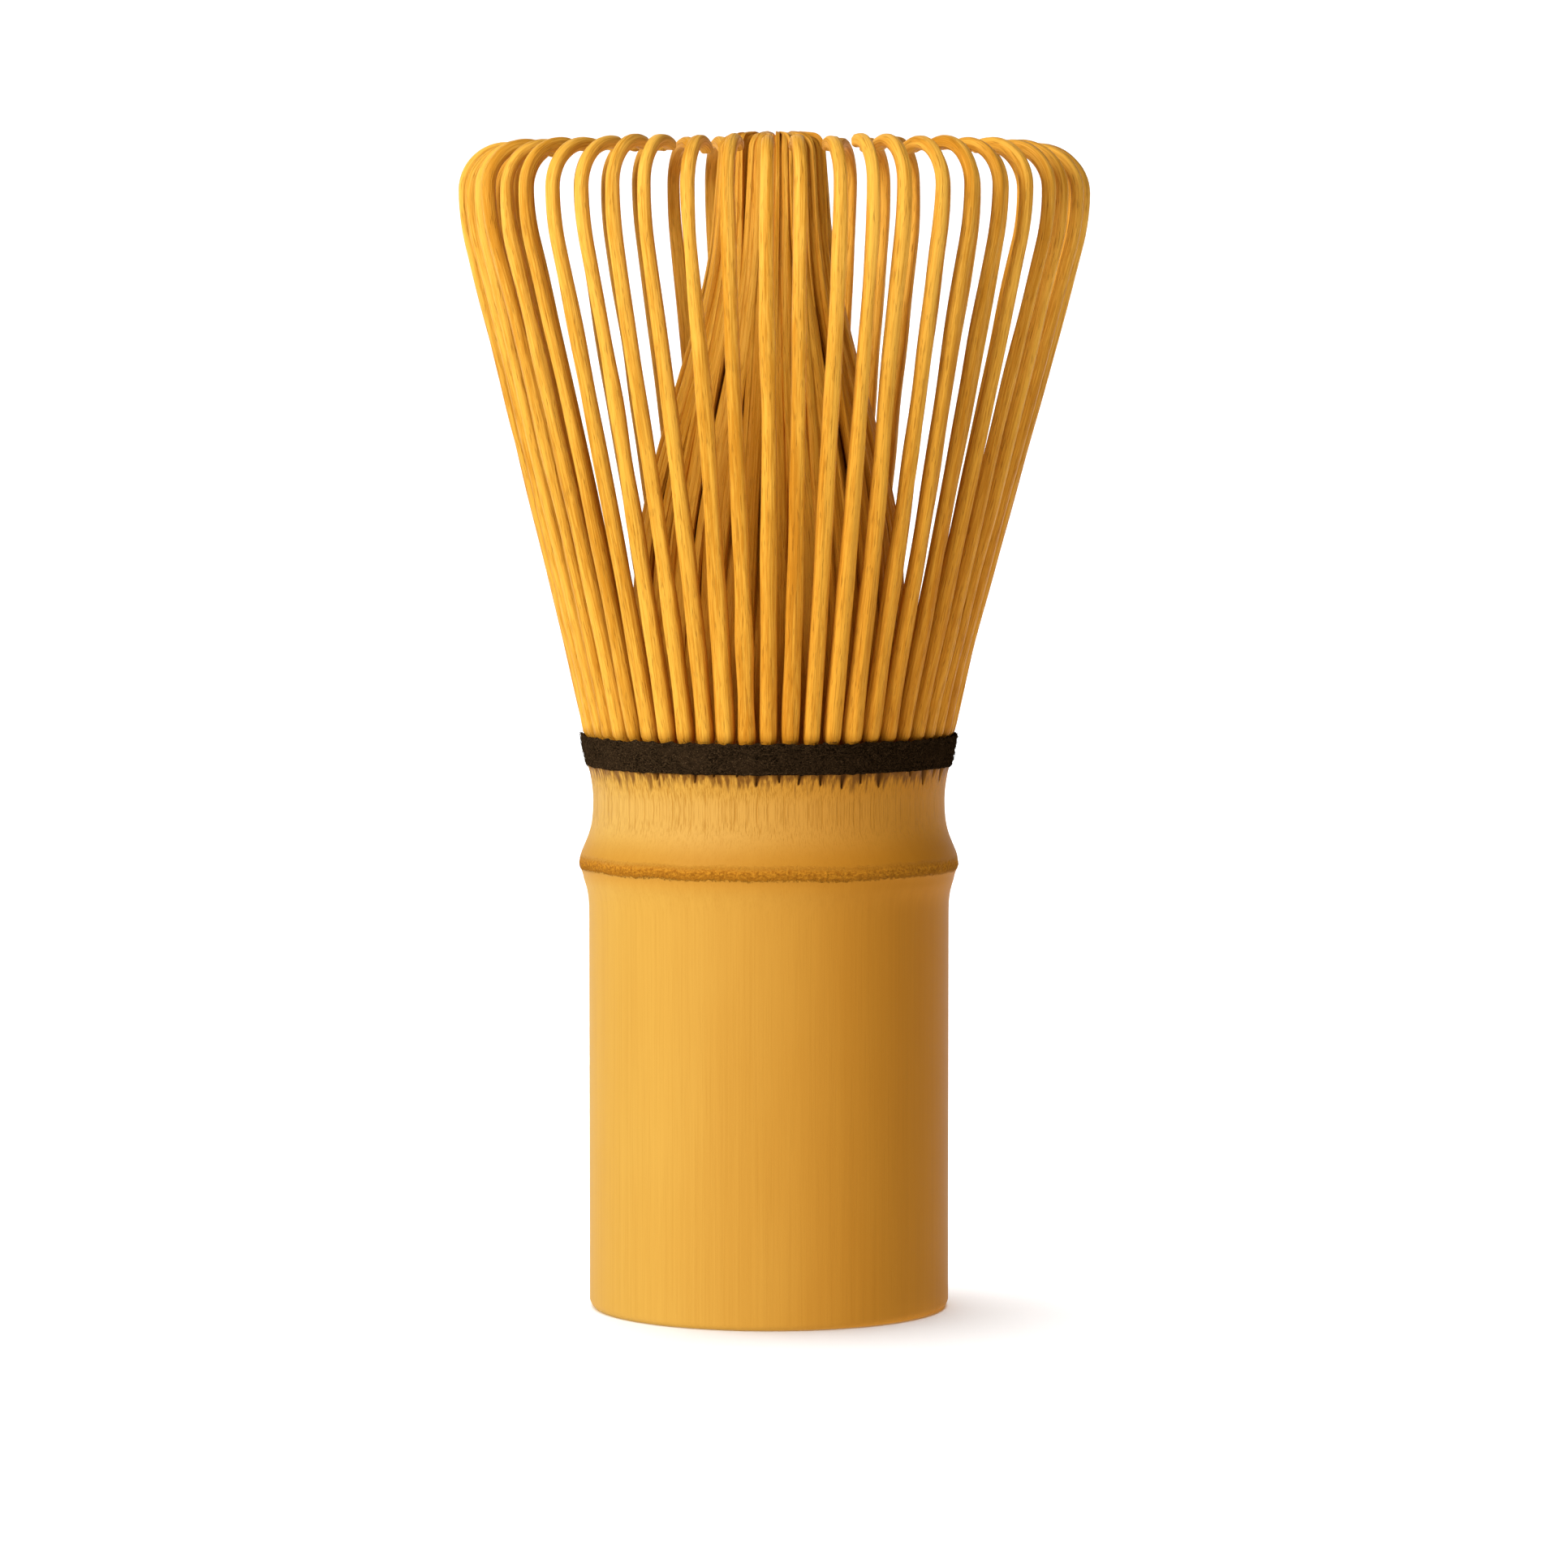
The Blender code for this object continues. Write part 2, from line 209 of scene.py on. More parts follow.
THREAD_LOOSE = (0.125, 0.078, 0.038)
THREAD_PAINTED_SIDE_SHADE = (0.62, 0.56, 0.50)
PAPER_DEEP = (0.90, 0.90, 0.90)
PAPER_PALE = (0.93, 0.93, 0.93)

# Stage, in metres. The glow is the world's strength, and the lens is in millimetres.
SWEEP_HALF_WIDTH = 1.7
SWEEP_BACK = 1.6
SWEEP_BEND = 0.5
SWEEP_TOP = 2.6
SWEEP_STEPS = 12
GLOW_BELOW = 1.21
GLOW_ABOVE = 0.12
CAMERA_PLACE = (1.39 * MM, -565.0 * MM, 84.75 * MM)
CAMERA_PITCH = math.radians(90.0 - 3.676)
CAMERA_LENS = 140.67


# ---------------------------------------------------------------- numbers


def smoothstep(low, high, value):
    t = np.clip((value - low) / (high - low), 0.0, 1.0)
    return t * t * (3.0 - 2.0 * t)


def wander(rng, waves, fade=1.0):
    """A smooth random function of 0..1 with values near -1..1, made of a few sine waves."""
    parts = [
        (rng.uniform(-1, 1) / (k + 1) ** fade, (k + 0.5) * math.pi, rng.uniform(0, math.tau))
        for k in range(waves)
    ]

    def value(s):
        return sum(size * np.sin(rate * s + phase) for size, rate, phase in parts)

    return value


def ring_wave(rng, azimuth, lowest, highest, fade=0.0):
    """Random waves round a full circle, near -1..1, with from `lowest` to `highest` waves to the turn."""
    total = np.zeros_like(azimuth)
    power = 0.0
    for k in range(lowest, highest + 1):
        size = rng.uniform(0.3, 1.0) / k**fade
        total += size * np.sin(k * azimuth + rng.uniform(0, math.tau))
        power += size * size
    return total / math.sqrt(2 * power)


def lattice_noise(points, seed):
    """Smooth noise of -1..1 at each row of points, whose lattice step is 1."""
    cell = np.floor(points).astype(np.int64)
    part = points - cell
    part = part * part * (3.0 - 2.0 * part)
    total = np.zeros(len(points))
    for corner in np.ndindex(2, 2, 2):
        at = cell + np.array(corner)
        mixed = at[:, 0] * 374761393 + at[:, 1] * 668265263 + at[:, 2] * 2147483647 + seed * 974634777
        mixed = (mixed ^ (mixed >> 13)) * 1274126177
        mixed = (mixed ^ (mixed >> 16)) & 0xFFFF
        weight = np.prod(np.where(np.array(corner) == 1, part, 1.0 - part), axis=1)
        total += weight * (mixed / 32767.5 - 1.0)
    return total


def turned(points, angle):
    """Points turned about Z by an angle, such as those of a strip in the XZ plane to its azimuth."""
    c, s = math.cos(angle), math.sin(angle)
    x, y, z = points[..., 0], points[..., 1], points[..., 2]
    return np.stack([c * x - s * y, s * x + c * y, z], axis=-1)


# ---------------------------------------------------------------- meshes


def loft(rings, closed_run=False):
    """Points and faces of a tube through rings, an array of stations by sides by 3.

    A run that isn't closed gets end caps."""
    stations, sides = rings.shape[:2]
    points = rings.reshape(-1, 3)
    base = np.arange(stations * sides).reshape(stations, sides)
    last = stations if closed_run else stations - 1
    low = base[:last]
    high = np.roll(base, -1, axis=0)[:last]
    quads = np.stack([low, np.roll(low, -1, axis=1), np.roll(high, -1, axis=1), high], axis=-1)
    faces = quads.reshape(-1, 4).tolist()
    if not closed_run:
        faces.append(base[0, ::-1].tolist())
        faces.append(base[-1].tolist())
    return points, faces


class Piece:
    """Collects tubes with their attributes for the materials, and becomes one mesh object."""

    def __init__(self):
        self.points = []
        self.faces = []
        self.values = {}
        self.count = 0

    def add(self, points, faces, **values):
        self.points.append(points)
        self.faces += [[index + self.count for index in face] for face in faces]
        for name, value in values.items():
            self.values.setdefault(name, []).append(value)
        self.count += len(points)

    def build(self, name, material, sharp=math.radians(60)):
        mesh = bpy.data.meshes.new(name)
        mesh.from_pydata(np.concatenate(self.points).tolist(), [], self.faces)
        mesh.update()
        for attribute, chunks in self.values.items():
            data = np.concatenate(chunks).astype(np.float32)
            if data.ndim == 2:
                made = mesh.attributes.new(attribute, "FLOAT_VECTOR", "POINT")
                made.data.foreach_set("vector", data.ravel())
            else:
                made = mesh.attributes.new(attribute, "FLOAT", "POINT")
                made.data.foreach_set("value", data)
        mesh.shade_smooth()
        mesh.set_sharp_from_angle(angle=sharp)
        mesh.materials.append(material)
        obj = bpy.data.objects.new(name, mesh)
        bpy.context.scene.collection.objects.link(obj)
        return obj


def place(obj, body, slot, *nodes):
    """Rides a piece on its body in place of its CAD nodes, which it hides. The slot is not used."""
    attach(obj, body)
    if nodes:
        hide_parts(*nodes)


# ---------------------------------------------------------------- materials


def new_material(name):
    material = bpy.data.materials.new(name)
    material.use_nodes = True
    tree = material.node_tree
    return material, tree, tree.nodes["Principled BSDF"]


def add(tree, kind, inputs=None, **settings):
    """A node with its settings, and its inputs given as values or as other nodes' outputs."""
    node = tree.nodes.new(kind)
    for key, value in settings.items():
        setattr(node, key, value)
    for key, value in (inputs or {}).items():
        if isinstance(value, bpy.types.NodeSocket):
            tree.links.new(value, node.inputs[key])
        else:
            node.inputs[key].default_value = value
    return node


def math_node(tree, operation, a, b):
    return add(tree, "ShaderNodeMath", {0: a, 1: b}, operation=operation).outputs[0]


def part_of(tree, value, factor):
    return math_node(tree, "MULTIPLY", value, factor)


def sum_of(tree, first, second):
    return math_node(tree, "ADD", first, second)


def scaled(tree, vector, factors):
    node = add(tree, "ShaderNodeVectorMath", {0: vector, 1: factors}, operation="MULTIPLY")
    return node.outputs[0]


def noise(tree, vector, factors, detail=2.0, roughness=0.5, distortion=0.0):
    """Noise of 0..1 with so many cells to the vector's unit along each axis."""
    inputs = {
        "Vector": scaled(tree, vector, factors),
        "Scale": 1.0,
        "Detail": detail,
        "Roughness": roughness,
        "Distortion": distortion,
    }
    return add(tree, "ShaderNodeTexNoise", inputs).outputs["Fac"]


def ranged(tree, value, low, high, to_low=0.0, to_high=1.0, smooth=True):
    """Goes from to_low to to_high as the value goes from low to high, and stays there beyond."""
    inputs = {"Value": value, "From Min": low, "From Max": high, "To Min": to_low, "To Max": to_high}
    kind = "SMOOTHSTEP" if smooth else "LINEAR"
    return add(tree, "ShaderNodeMapRange", inputs, interpolation_type=kind).outputs["Result"]


def mixed(tree, factor, first, second, blend="MIX"):
    node = tree.nodes.new("ShaderNodeMix")
    node.data_type = "RGBA"
    node.blend_type = blend
    sockets = {name: node.inputs[index] for name, index in (("factor", 0), ("a", 6), ("b", 7))}
    for name, value in (("factor", factor), ("a", first), ("b", second)):
        if isinstance(value, bpy.types.NodeSocket):
            tree.links.new(value, sockets[name])
        elif name == "factor":
            sockets[name].default_value = value
        else:
            sockets[name].default_value = (*value, 1.0)
    return node.outputs[2]


def attribute(tree, name, output):
    return add(tree, "ShaderNodeAttribute", attribute_name=name).outputs[output]


def bump(tree, height, distance, strength):
    inputs = {"Height": height, "Distance": distance, "Strength": strength}
    return add(tree, "ShaderNodeBump", inputs).outputs["Normal"]


def painted_shade_side(tree):
    """0 on the culm's -X side, which the key lamp lights, and 1 on its +X side, which gets painted shade
    of a deeper orange.
    """
    across = add(tree, "ShaderNodeSeparateXYZ", {0: add(tree, "ShaderNodeTexCoord").outputs["Object"]})
    return ranged(tree, across.outputs["X"], -NODE_RADIUS, NODE_RADIUS)


def split_bamboo_material():
    """Shaved bamboo: fibres along the strip and short dark pits, and painted shade, a deeper orange,
    between the strips.

    A strip is painted paler towards its tip, as painted light, and darker on its +X side, as painted
    shade."""
    material, tree, shader = new_material("split_bamboo_fibre")
    grain = attribute(tree, "grain", "Vector")
    tint = attribute(tree, "tint", "Fac")
    hollow = attribute(tree, "hollow", "Fac")
    fine = noise(tree, grain, (8.0, 8.0, 0.30), 3.0, 0.6)
    broad = noise(tree, grain, (1.1, 1.1, 0.05), 2.0, 0.5)
    pits = ranged(tree, noise(tree, grain, (7.0, 7.0, 0.7), 1.0, 0.5), 0.60, 0.74)
    ridges = noise(tree, grain, (3.2, 3.2, 0.05), 1.0, 0.5)
    lightness = sum_of(tree, part_of(tree, fine, 0.55), part_of(tree, broad, 0.45))
    lightness = sum_of(tree, lightness, part_of(tree, tint, 0.10))
    lightness = ranged(tree, lightness, 0.34, 0.64)
    colour = mixed(tree, lightness, STRIP_DEEP, STRIP_PALE)
    colour = mixed(tree, part_of(tree, pits, 0.30), colour, STRIP_PIT)
    place_m = add(tree, "ShaderNodeTexCoord").outputs["Object"]
    up_m = add(tree, "ShaderNodeSeparateXYZ", {0: place_m}).outputs["Z"]
    # Painted light: the strips are made paler towards the crown.
    crown_light = ranged(tree, up_m, 0.078, 0.102)
    # Painted shade: the +X side is darkened, less so towards the crown.
    side_shade = part_of(tree, painted_shade_side(tree), ranged(tree, up_m, 0.060, 0.098, 1.0, 0.15))
    colour = mixed(tree, side_shade, colour, STRIP_PAINTED_SIDE_SHADE, "MULTIPLY")
    colour = mixed(tree, crown_light, colour, STRIP_PAINTED_CROWN_LIGHT, "MULTIPLY")
    # Painted shade from the hollow attribute: deeper orange between the strips, low on them and in the
    # heart's inner layers.
    colour = mixed(tree, hollow, colour, STRIP_PAINTED_SHADE)
    height = sum_of(tree, part_of(tree, fine, 0.5), ridges)
    height = math_node(tree, "SUBTRACT", height, part_of(tree, pits, 0.35))
    tree.links.new(colour, shader.inputs["Base Color"])
    tree.links.new(bump(tree, height, 0.12 * MM, 0.9), shader.inputs["Normal"])
    tree.links.new(ranged(tree, fine, 0.3, 0.7, 0.62, 0.46), shader.inputs["Roughness"])
    shader.inputs["Specular IOR Level"].default_value = 0.08
    return material


def node_scar(tree, place_mm, height_mm, grit, base):
    """The rough brown scar where a leaf sheath grew, with a dark lip and a soft halo.

    Returns the new base colour, and the scar's extent."""
    scar_mm = SCAR_Z / MM
    wave = noise(tree, place_mm, (0.16, 0.16, 0.0), 1.0, 0.5)
    level = sum_of(tree, height_mm, ranged(tree, wave, 0.3, 0.7, -0.10, 0.10, smooth=False))
    level = sum_of(tree, level, ranged(tree, grit, 0.3, 0.7, -0.22, 0.22, smooth=False))
    low_edge = ranged(tree, level, scar_mm - 0.42, scar_mm - 0.30)
    high_edge = ranged(tree, level, scar_mm + 0.25, scar_mm + 1.05, 1.0, 0.0)
    scar = part_of(tree, low_edge, high_edge)
    scar_colour = mixed(tree, ranged(tree, grit, 0.42, 0.58), SCAR_DEEP, SCAR_PALE)
    base = mixed(tree, part_of(tree, scar, 0.90), base, scar_colour)
    lip = ranged(tree, level, scar_mm - 0.12, scar_mm + 0.10, 1.0, 0.0)
    lip = part_of(tree, lip, part_of(tree, low_edge, 0.60))
    base = mixed(tree, lip, base, SCAR_LIP)
    below = ranged(tree, height_mm, scar_mm - 2.2, scar_mm)
    above = ranged(tree, height_mm, scar_mm + 0.4, scar_mm + 4.0, 1.0, 0.0)
    halo = part_of(tree, below, above)
    base = mixed(tree, part_of(tree, halo, 0.50), base, SCAR_HALO)
    return base, scar


def bamboo_skin_material():
    """The culm's skin: faint fibre lines, a rough scar at the node, and a stain under the thread."""
    material, tree, shader = new_material("bamboo_skin_culm")
    place_mm = scaled(tree, add(tree, "ShaderNodeTexCoord").outputs["Object"], (1000.0,) * 3)
    height_mm = add(tree, "ShaderNodeSeparateXYZ", {0: place_mm}).outputs["Z"]
    inside = attribute(tree, "inside", "Fac")
    cleft = attribute(tree, "hollow", "Fac")
    streaks = noise(tree, place_mm, (1.6, 1.6, 0.018), 3.0, 0.6)
    lines = noise(tree, place_mm, (5.5, 5.5, 0.045), 2.0, 0.6)
    cloud = noise(tree, place_mm, (0.10, 0.10, 0.045), 2.0, 0.5)
    hairs = noise(tree, place_mm, (13.0, 13.0, 0.20), 2.0, 0.6)
    grit = noise(tree, place_mm, (3.4, 3.4, 5.2), 4.0, 0.75)

    base = mixed(tree, ranged(tree, streaks, 0.30, 0.75), SKIN_DEEP, SKIN_PALE)
    base = mixed(tree, ranged(tree, cloud, 0.4, 0.7, 0.0, 0.35), base, SKIN_CLOUD)
    pale_from, pale_full, pale_fading, pale_to = PALE_BAND
    fading = ranged(tree, height_mm, pale_fading, pale_to, 0.35, 0.0)
    pale = part_of(tree, ranged(tree, height_mm, pale_from, pale_full), fading)
    base = mixed(tree, pale, base, SKIN_NECK)
    # Painted shade: the +X side, away from the key lamp, is darkened to a deeper orange.
    base = mixed(tree, painted_shade_side(tree), base, SKIN_PAINTED_SIDE_SHADE, "MULTIPLY")

    neck = ranged(tree, height_mm, *FIBROUS_NECK)
    fibre = part_of(tree, ranged(tree, lines, 0.50, 0.70), ranged(tree, neck, 0.0, 1.0, 0.12, 0.62))
    hair = part_of(tree, ranged(tree, hairs, 0.50, 0.68), ranged(tree, neck, 0.0, 1.0, 0.08, 0.45))
    base = mixed(tree, fibre, base, SKIN_FIBRE)
    base = mixed(tree, hair, base, SKIN_HAIR)
    base, scar = node_scar(tree, place_mm, height_mm, grit, base)

    soaked = noise(tree, place_mm, (2.3, 2.3, 0.12), 2.0, 0.6)
    stain_edge = sum_of(tree, height_mm, ranged(tree, soaked, 0.3, 0.7, -1.0, 1.0, smooth=False))
    stain = ranged(tree, stain_edge, *THREAD_STAIN)
    base = mixed(tree, part_of(tree, stain, 0.90), base, STAIN)
    # The brown round each split is a stain; its near-black core is painted shade.
    base = mixed(tree, ranged(tree, cleft, 0.08, 0.85, 0.0, 0.85), base, SPLIT_BROWN)
    base = mixed(tree, ranged(tree, cleft, 0.62, 0.97, 0.0, 0.80), base, SPLIT_PAINTED_SHADE)
    pith = mixed(tree, ranged(tree, grit, 0.35, 0.65), PITH_DEEP, PITH_PALE)
    base = mixed(tree, inside, base, pith)

    rough = part_of(tree, grit, scar)
    height = sum_of(tree, part_of(tree, rough, 3.2), part_of(tree, lines, 0.10))
    height = sum_of(tree, height, part_of(tree, fibre, -0.45))
    height = sum_of(tree, height, part_of(tree, hair, -0.35))
    tree.links.new(base, shader.inputs["Base Color"])
    tree.links.new(bump(tree, height, 0.10 * MM, 0.8), shader.inputs["Normal"])
    tree.links.new(ranged(tree, scar, 0.0, 1.0, 0.50, 0.80), shader.inputs["Roughness"])
    shader.inputs["Specular IOR Level"].default_value = 0.04
    return material


def thread_material():
    """Dark matted cotton: brown-black, with paler fibre ends that lie mostly along the winding."""
    material, tree, shader = new_material("matted_thread")
    grain = attribute(tree, "grain", "Vector")
    tint = attribute(tree, "tint", "Fac")
    fibres = noise(tree, grain, (4.2, 6.5, 6.5), 3.0, 0.7, 0.8)
    specks = ranged(tree, noise(tree, grain, (8.0, 9.5, 9.5), 2.0, 0.6), 0.57, 0.68)
    patches = noise(tree, grain, (0.35, 0.6, 0.6), 2.0, 0.5)
    colour = mixed(tree, ranged(tree, fibres, 0.38, 0.64), THREAD_BLACK, THREAD_BROWN)
    colour = mixed(tree, ranged(tree, patches, 0.4, 0.7, 0.0, 0.5), colour, THREAD_PATCH)
    colour = mixed(tree, part_of(tree, specks, 0.5), colour, THREAD_SPECK)
    colour = mixed(tree, tint, colour, THREAD_LOOSE)
    # Painted shade: the +X side of the thread is darkened.
    colour = mixed(tree, painted_shade_side(tree), colour, THREAD_PAINTED_SIDE_SHADE, "MULTIPLY")
    tree.links.new(colour, shader.inputs["Base Color"])
    tree.links.new(bump(tree, fibres, 0.16 * MM, 0.9), shader.inputs["Normal"])
    shader.inputs["Roughness"].default_value = 1.0
    shader.inputs["Specular IOR Level"].default_value = 0.0
    return material


def paper_material():
    material, tree, shader = new_material("pale_sweep")
    place_m = add(tree, "ShaderNodeTexCoord").outputs["Object"]
    tone = noise(tree, place_m, (3.0, 3.0, 3.0), 2.0, 0.5)
    colour = mixed(tree, tone, PAPER_DEEP, PAPER_PALE)
    tree.links.new(colour, shader.inputs["Base Color"])
    shader.inputs["Roughness"].default_value = 0.95
    shader.inputs["Specular IOR Level"].default_value = 0.0
    return material


# ---------------------------------------------------------------- shaved strips


def strip_section(sides):
    """A rounded strip's section as across and through, each -1..1. The outer side is the rounder one."""
    angles = np.arange(sides) * math.tau / sides
    c, s = np.cos(angles), np.sin(angles)
    across = np.sign(c) * np.abs(c) ** np.where(s > 0, 0.80, 0.62)
    through = np.sign(s) * np.abs(s) ** np.where(s > 0, 0.85, 0.60)
    return angles, across, through


def run_along(line):
    """The length along a line up to each of its rows, the first three columns of which are its place."""
    steps = np.linalg.norm(np.diff(line[:, :3], axis=0), axis=1)
    return np.concatenate([[0.0], np.cumsum(steps)])


def strip_rings(rng, line, half_width, half_out, half_in, sides, groove):
    """Rings of a strip along line, which has rows of radius, sideways offset, height and lean.

    The strip's section is lobed by about `groove`. Returns the rings, in the radial plane, and the
    fibre coordinates of their points, in millimetres."""
    angles, across, through = strip_section(sides)
    stations = len(line)
    run = run_along(line)
    share = run / run[-1]
    lobes = sum(
        rng.uniform(0.4, 1.0)
        * np.cos(k * angles[None, :] + rng.uniform(0, math.tau) + 2.2 * wander(rng, 3)(share)[:, None])
        for k in (3, 5, 7)
    )
    swell = 1.0 + 0.05 * wander(rng, 14, 0.3)(share)[:, None]
    wide = across[None, :] * half_width[:, None] * swell + groove * lobes * across[None, :]
    deep = np.where(through > 0, through * half_out[:, None], through * half_in[:, None])
    deep = deep * swell + groove * lobes * np.abs(through)[None, :]
    lean = line[:, 3][:, None]
    rings = np.empty((stations, sides, 3))
    rings[..., 0] = line[:, 0][:, None] + deep * np.cos(lean)
    rings[..., 1] = line[:, 1][:, None] + wide
    rings[..., 2] = line[:, 2][:, None] - deep * np.sin(lean)
    shift = np.array([rng.uniform(0, 400), rng.uniform(0, 400), rng.uniform(0, 400)])
    along = np.broadcast_to(run[:, None], wide.shape)
    grain = np.stack([wide, deep, along], axis=-1) / MM + shift
    return rings, grain.reshape(-1, 3)


def rounded_ends(root_length, tip_length, run):
    """A factor that closes a strip's section over a short length at its root and its tip."""
    low = np.sqrt(np.clip(1.0 - (1.0 - np.clip(run / root_length, 0, 1)) ** 2, 0.02, 1.0))
    high = np.sqrt(np.clip(1.0 - (1.0 - np.clip((run[-1] - run) / tip_length, 0, 1)) ** 2, 0.02, 1.0))
    return low * high


def crown_lean(number):
    """How far a tine leans round the crown at its crest, in degrees, by its number from the front."""
    round_from_front = TINE_PITCH * number
    leftward = LEFTWARD_LEAN + QUARTER_LEAN * abs(math.sin(round_from_front))
    return LEANING_TINES.get(number, 0.0) - leftward * math.cos(round_from_front)


def outer_tine_line(rng, lean_round, raised):
    """Centreline of one outer tine: straight and leaning out, an easy shoulder, and a hook inwards.

    Returns rows for strip_rings, and how far up each of them is, 0 at the root and 1 at the crest."""
    hook_radius = HOOK_RADIUS * rng.uniform(0.94, 1.04)
    hook_turn = HOOK_TURN + math.radians(rng.uniform(-8, 10))
    tip = HOOK_TIP * rng.uniform(0.6, 1.5)
    crest = CREST_Z - TINE_HALF_THICKNESS - hook_radius + rng.uniform(-0.18, 0.12) * MM + raised
    straight_top = crest - SHOULDER_RADIUS * math.sin(TINE_LEAN)
    rise = straight_top - ROOT_Z
    points = []
    for s in np.linspace(0.0, 1.0, 58):
        z = ROOT_Z + rise * s**1.15
        points.append((ROOT_RADIUS + (z - ROOT_Z) * math.tan(TINE_LEAN), z, TINE_LEAN))
    crest_radius = ROOT_RADIUS + rise * math.tan(TINE_LEAN) + SHOULDER_RADIUS * (1 - math.cos(TINE_LEAN))
    for angle in np.linspace(-TINE_LEAN, 0.0, 8)[1:]:
        centre = crest_radius - SHOULDER_RADIUS
        radius = centre + SHOULDER_RADIUS * math.cos(angle)
        points.append((radius, crest + SHOULDER_RADIUS * math.sin(angle), -angle))
    for angle in np.linspace(0.0, hook_turn, 17)[1:]:
        radius = crest_radius - hook_radius * (1 - math.cos(angle))
        points.append((radius, crest + hook_radius * math.sin(angle), -angle))
    radius, z, lean = points[-1]
    for s in np.linspace(0.0, 1.0, 7)[1:]:
        points.append((radius + tip * s * math.sin(lean), z + tip * s * math.cos(lean), lean))
    radial, height, lean = np.array(points).T
    up = np.clip((height - ROOT_Z) / (crest - ROOT_Z), 0.0, 1.0)
    free = smoothstep(0.06, 1.0, up)
    sideways = TINE_WAVER * wander(rng, 5, 0.8)(up) * free + rng.uniform(-0.12, 0.12) * MM * free
    sideways = sideways + radial * math.sin(math.radians(lean_round)) * free
    outward = TINE_WAVER_OUT * wander(rng, 3, 0.6)(up) * free + rng.uniform(-0.15, 0.10) * MM * free
    return np.column_stack([radial + outward, sideways, height, lean]), up


def build_outer_tine(node, joint, material):
    """One outer tine at its joint: wider at its root, and swollen where it leaves the thread."""
    rng = random.Random(node)
    x, y = joint["pos_m"][:2]
    raised = BACK_RISE * max(y, 0.0) / ROOT_RADIUS
    line, up = outer_tine_line(rng, crown_lean(TINE_NODES.index(node)), raised)
    ends = rounded_ends(ROOT_END_LENGTH, TINE_TIP_LENGTH, run_along(line))
    width = TINE_HALF_WIDTH * (1.0 - TINE_WIDTH_SHRINK * up) * rng.uniform(0.95, 1.05)
    pinch = 1.0 - 0.16 * (1.0 - smoothstep(SWELL_LOW_Z, SWELL_HIGH_Z, line[:, 2]))
    above = np.clip(line[:, 2] - SWELL_HIGH_Z, 0.0, None)
    swell = ROOT_SWELL * smoothstep(SWELL_LOW_Z, SWELL_HIGH_Z, line[:, 2])
    swell = swell * np.exp(-above / ROOT_SWELL_FADE)
    half_out = (TINE_HALF_THICKNESS * (1.0 - 0.10 * up) + swell) * ends
    half_in = TINE_HALF_THICKNESS * (1.0 - 0.10 * up) * ends
    rings, grain = strip_rings(rng, line, width * pinch * ends, half_out, half_in, TINE_SIDES, TINE_GROOVE)
    rings = turned(rings, math.atan2(y, x))
    rings[..., 0] += CROWN_SHIFT * smoothstep(0.0, 1.0, up)[:, None]
    points, faces = loft(rings)
    _, across, through = strip_section(TINE_SIDES)
    # Painted shade for the hollow attribute: darker along the strip's sides and inner face towards the
    # root, where the strips shade each other, and just above the thread.
    side = np.clip(np.abs(across) - 0.75, 0, 1) * 1.6 + np.clip(-through, 0, 1) * 0.55
    depth = np.clip((1.0 - up) ** 2, 0, 1)[:, None] * side[None, :]
    thread_contact_shade = 0.5 * (1.0 - smoothstep(0.0, 0.9 * MM, line[:, 2] - BINDING_HIGH.z))
    hollow = np.clip(depth * 0.7 + thread_contact_shade[:, None] * np.ones(TINE_SIDES)[None, :], 0, 0.9)
    tint = np.full(len(points), rng.uniform(-0.5, 0.5))
    piece = Piece()
    piece.add(points, faces, grain=grain, tint=tint, hollow=hollow.reshape(-1))
    place(piece.build(node + "_strip", material), node, "split_bamboo", node)


# ---------------------------------------------------------------- heart


def heart_radius(z, layer):
    """The heart's radius at a height, for its outermost layer 0 or one of the layers inside that."""
    bulge = HEART_RADIUS - HEART_TOP_RADIUS - HEART_TAPER * (TOP_Z - ROOT_Z)
    gathered = smoothstep(GATHER_FROM_Z, GATHER_TO_Z, z)
    parted = smoothstep(LAYERS_PART_Z, LAYERS_APART_Z, z)
    outermost = HEART_TOP_RADIUS + HEART_TAPER * (TOP_Z - z) + bulge * (1.0 - gathered)
    return outermost - layer * LAYER_STEP * parted


def strand_line(rng, layer, depth):
    """Centreline of an inner tine, from its root to a tip that bends over the top of the heart."""
    bend = HEART_BEND_RADIUS * rng.uniform(0.85, 1.15)
    top = TOP_Z - depth - bend - rng.uniform(0.0, 0.35) * MM
    z = ROOT_Z + (top - ROOT_Z) * np.linspace(0.0, 1.0, 46)
    radial = heart_radius(z, layer)
    lean = np.arctan2(np.gradient(radial), np.gradient(z))
    line = list(zip(radial, z, lean))
    reach = min(radial[-1] - 0.5 * MM, rng.uniform(1.6, 3.2) * MM)
    turn = np.linspace(0.0, 1.0, 9)[1:]
    start = lean[-1]
    for angle in start - turn * (math.radians(84) + start):
        centre = (radial[-1] - bend * math.cos(start), z[-1] + bend * math.sin(start))
        line.append((centre[0] + bend * math.cos(angle), centre[1] - bend * math.sin(angle), angle))
    end_radius, end_z, end_lean = line[-1]
    for s in turn[:4]:
        run = max(reach - bend, 0.3 * MM) * s * 2
        line.append((end_radius + run * math.sin(end_lean), end_z + run * math.cos(end_lean), end_lean))
    radial, height, lean = np.array(line).T
    return radial, height, lean


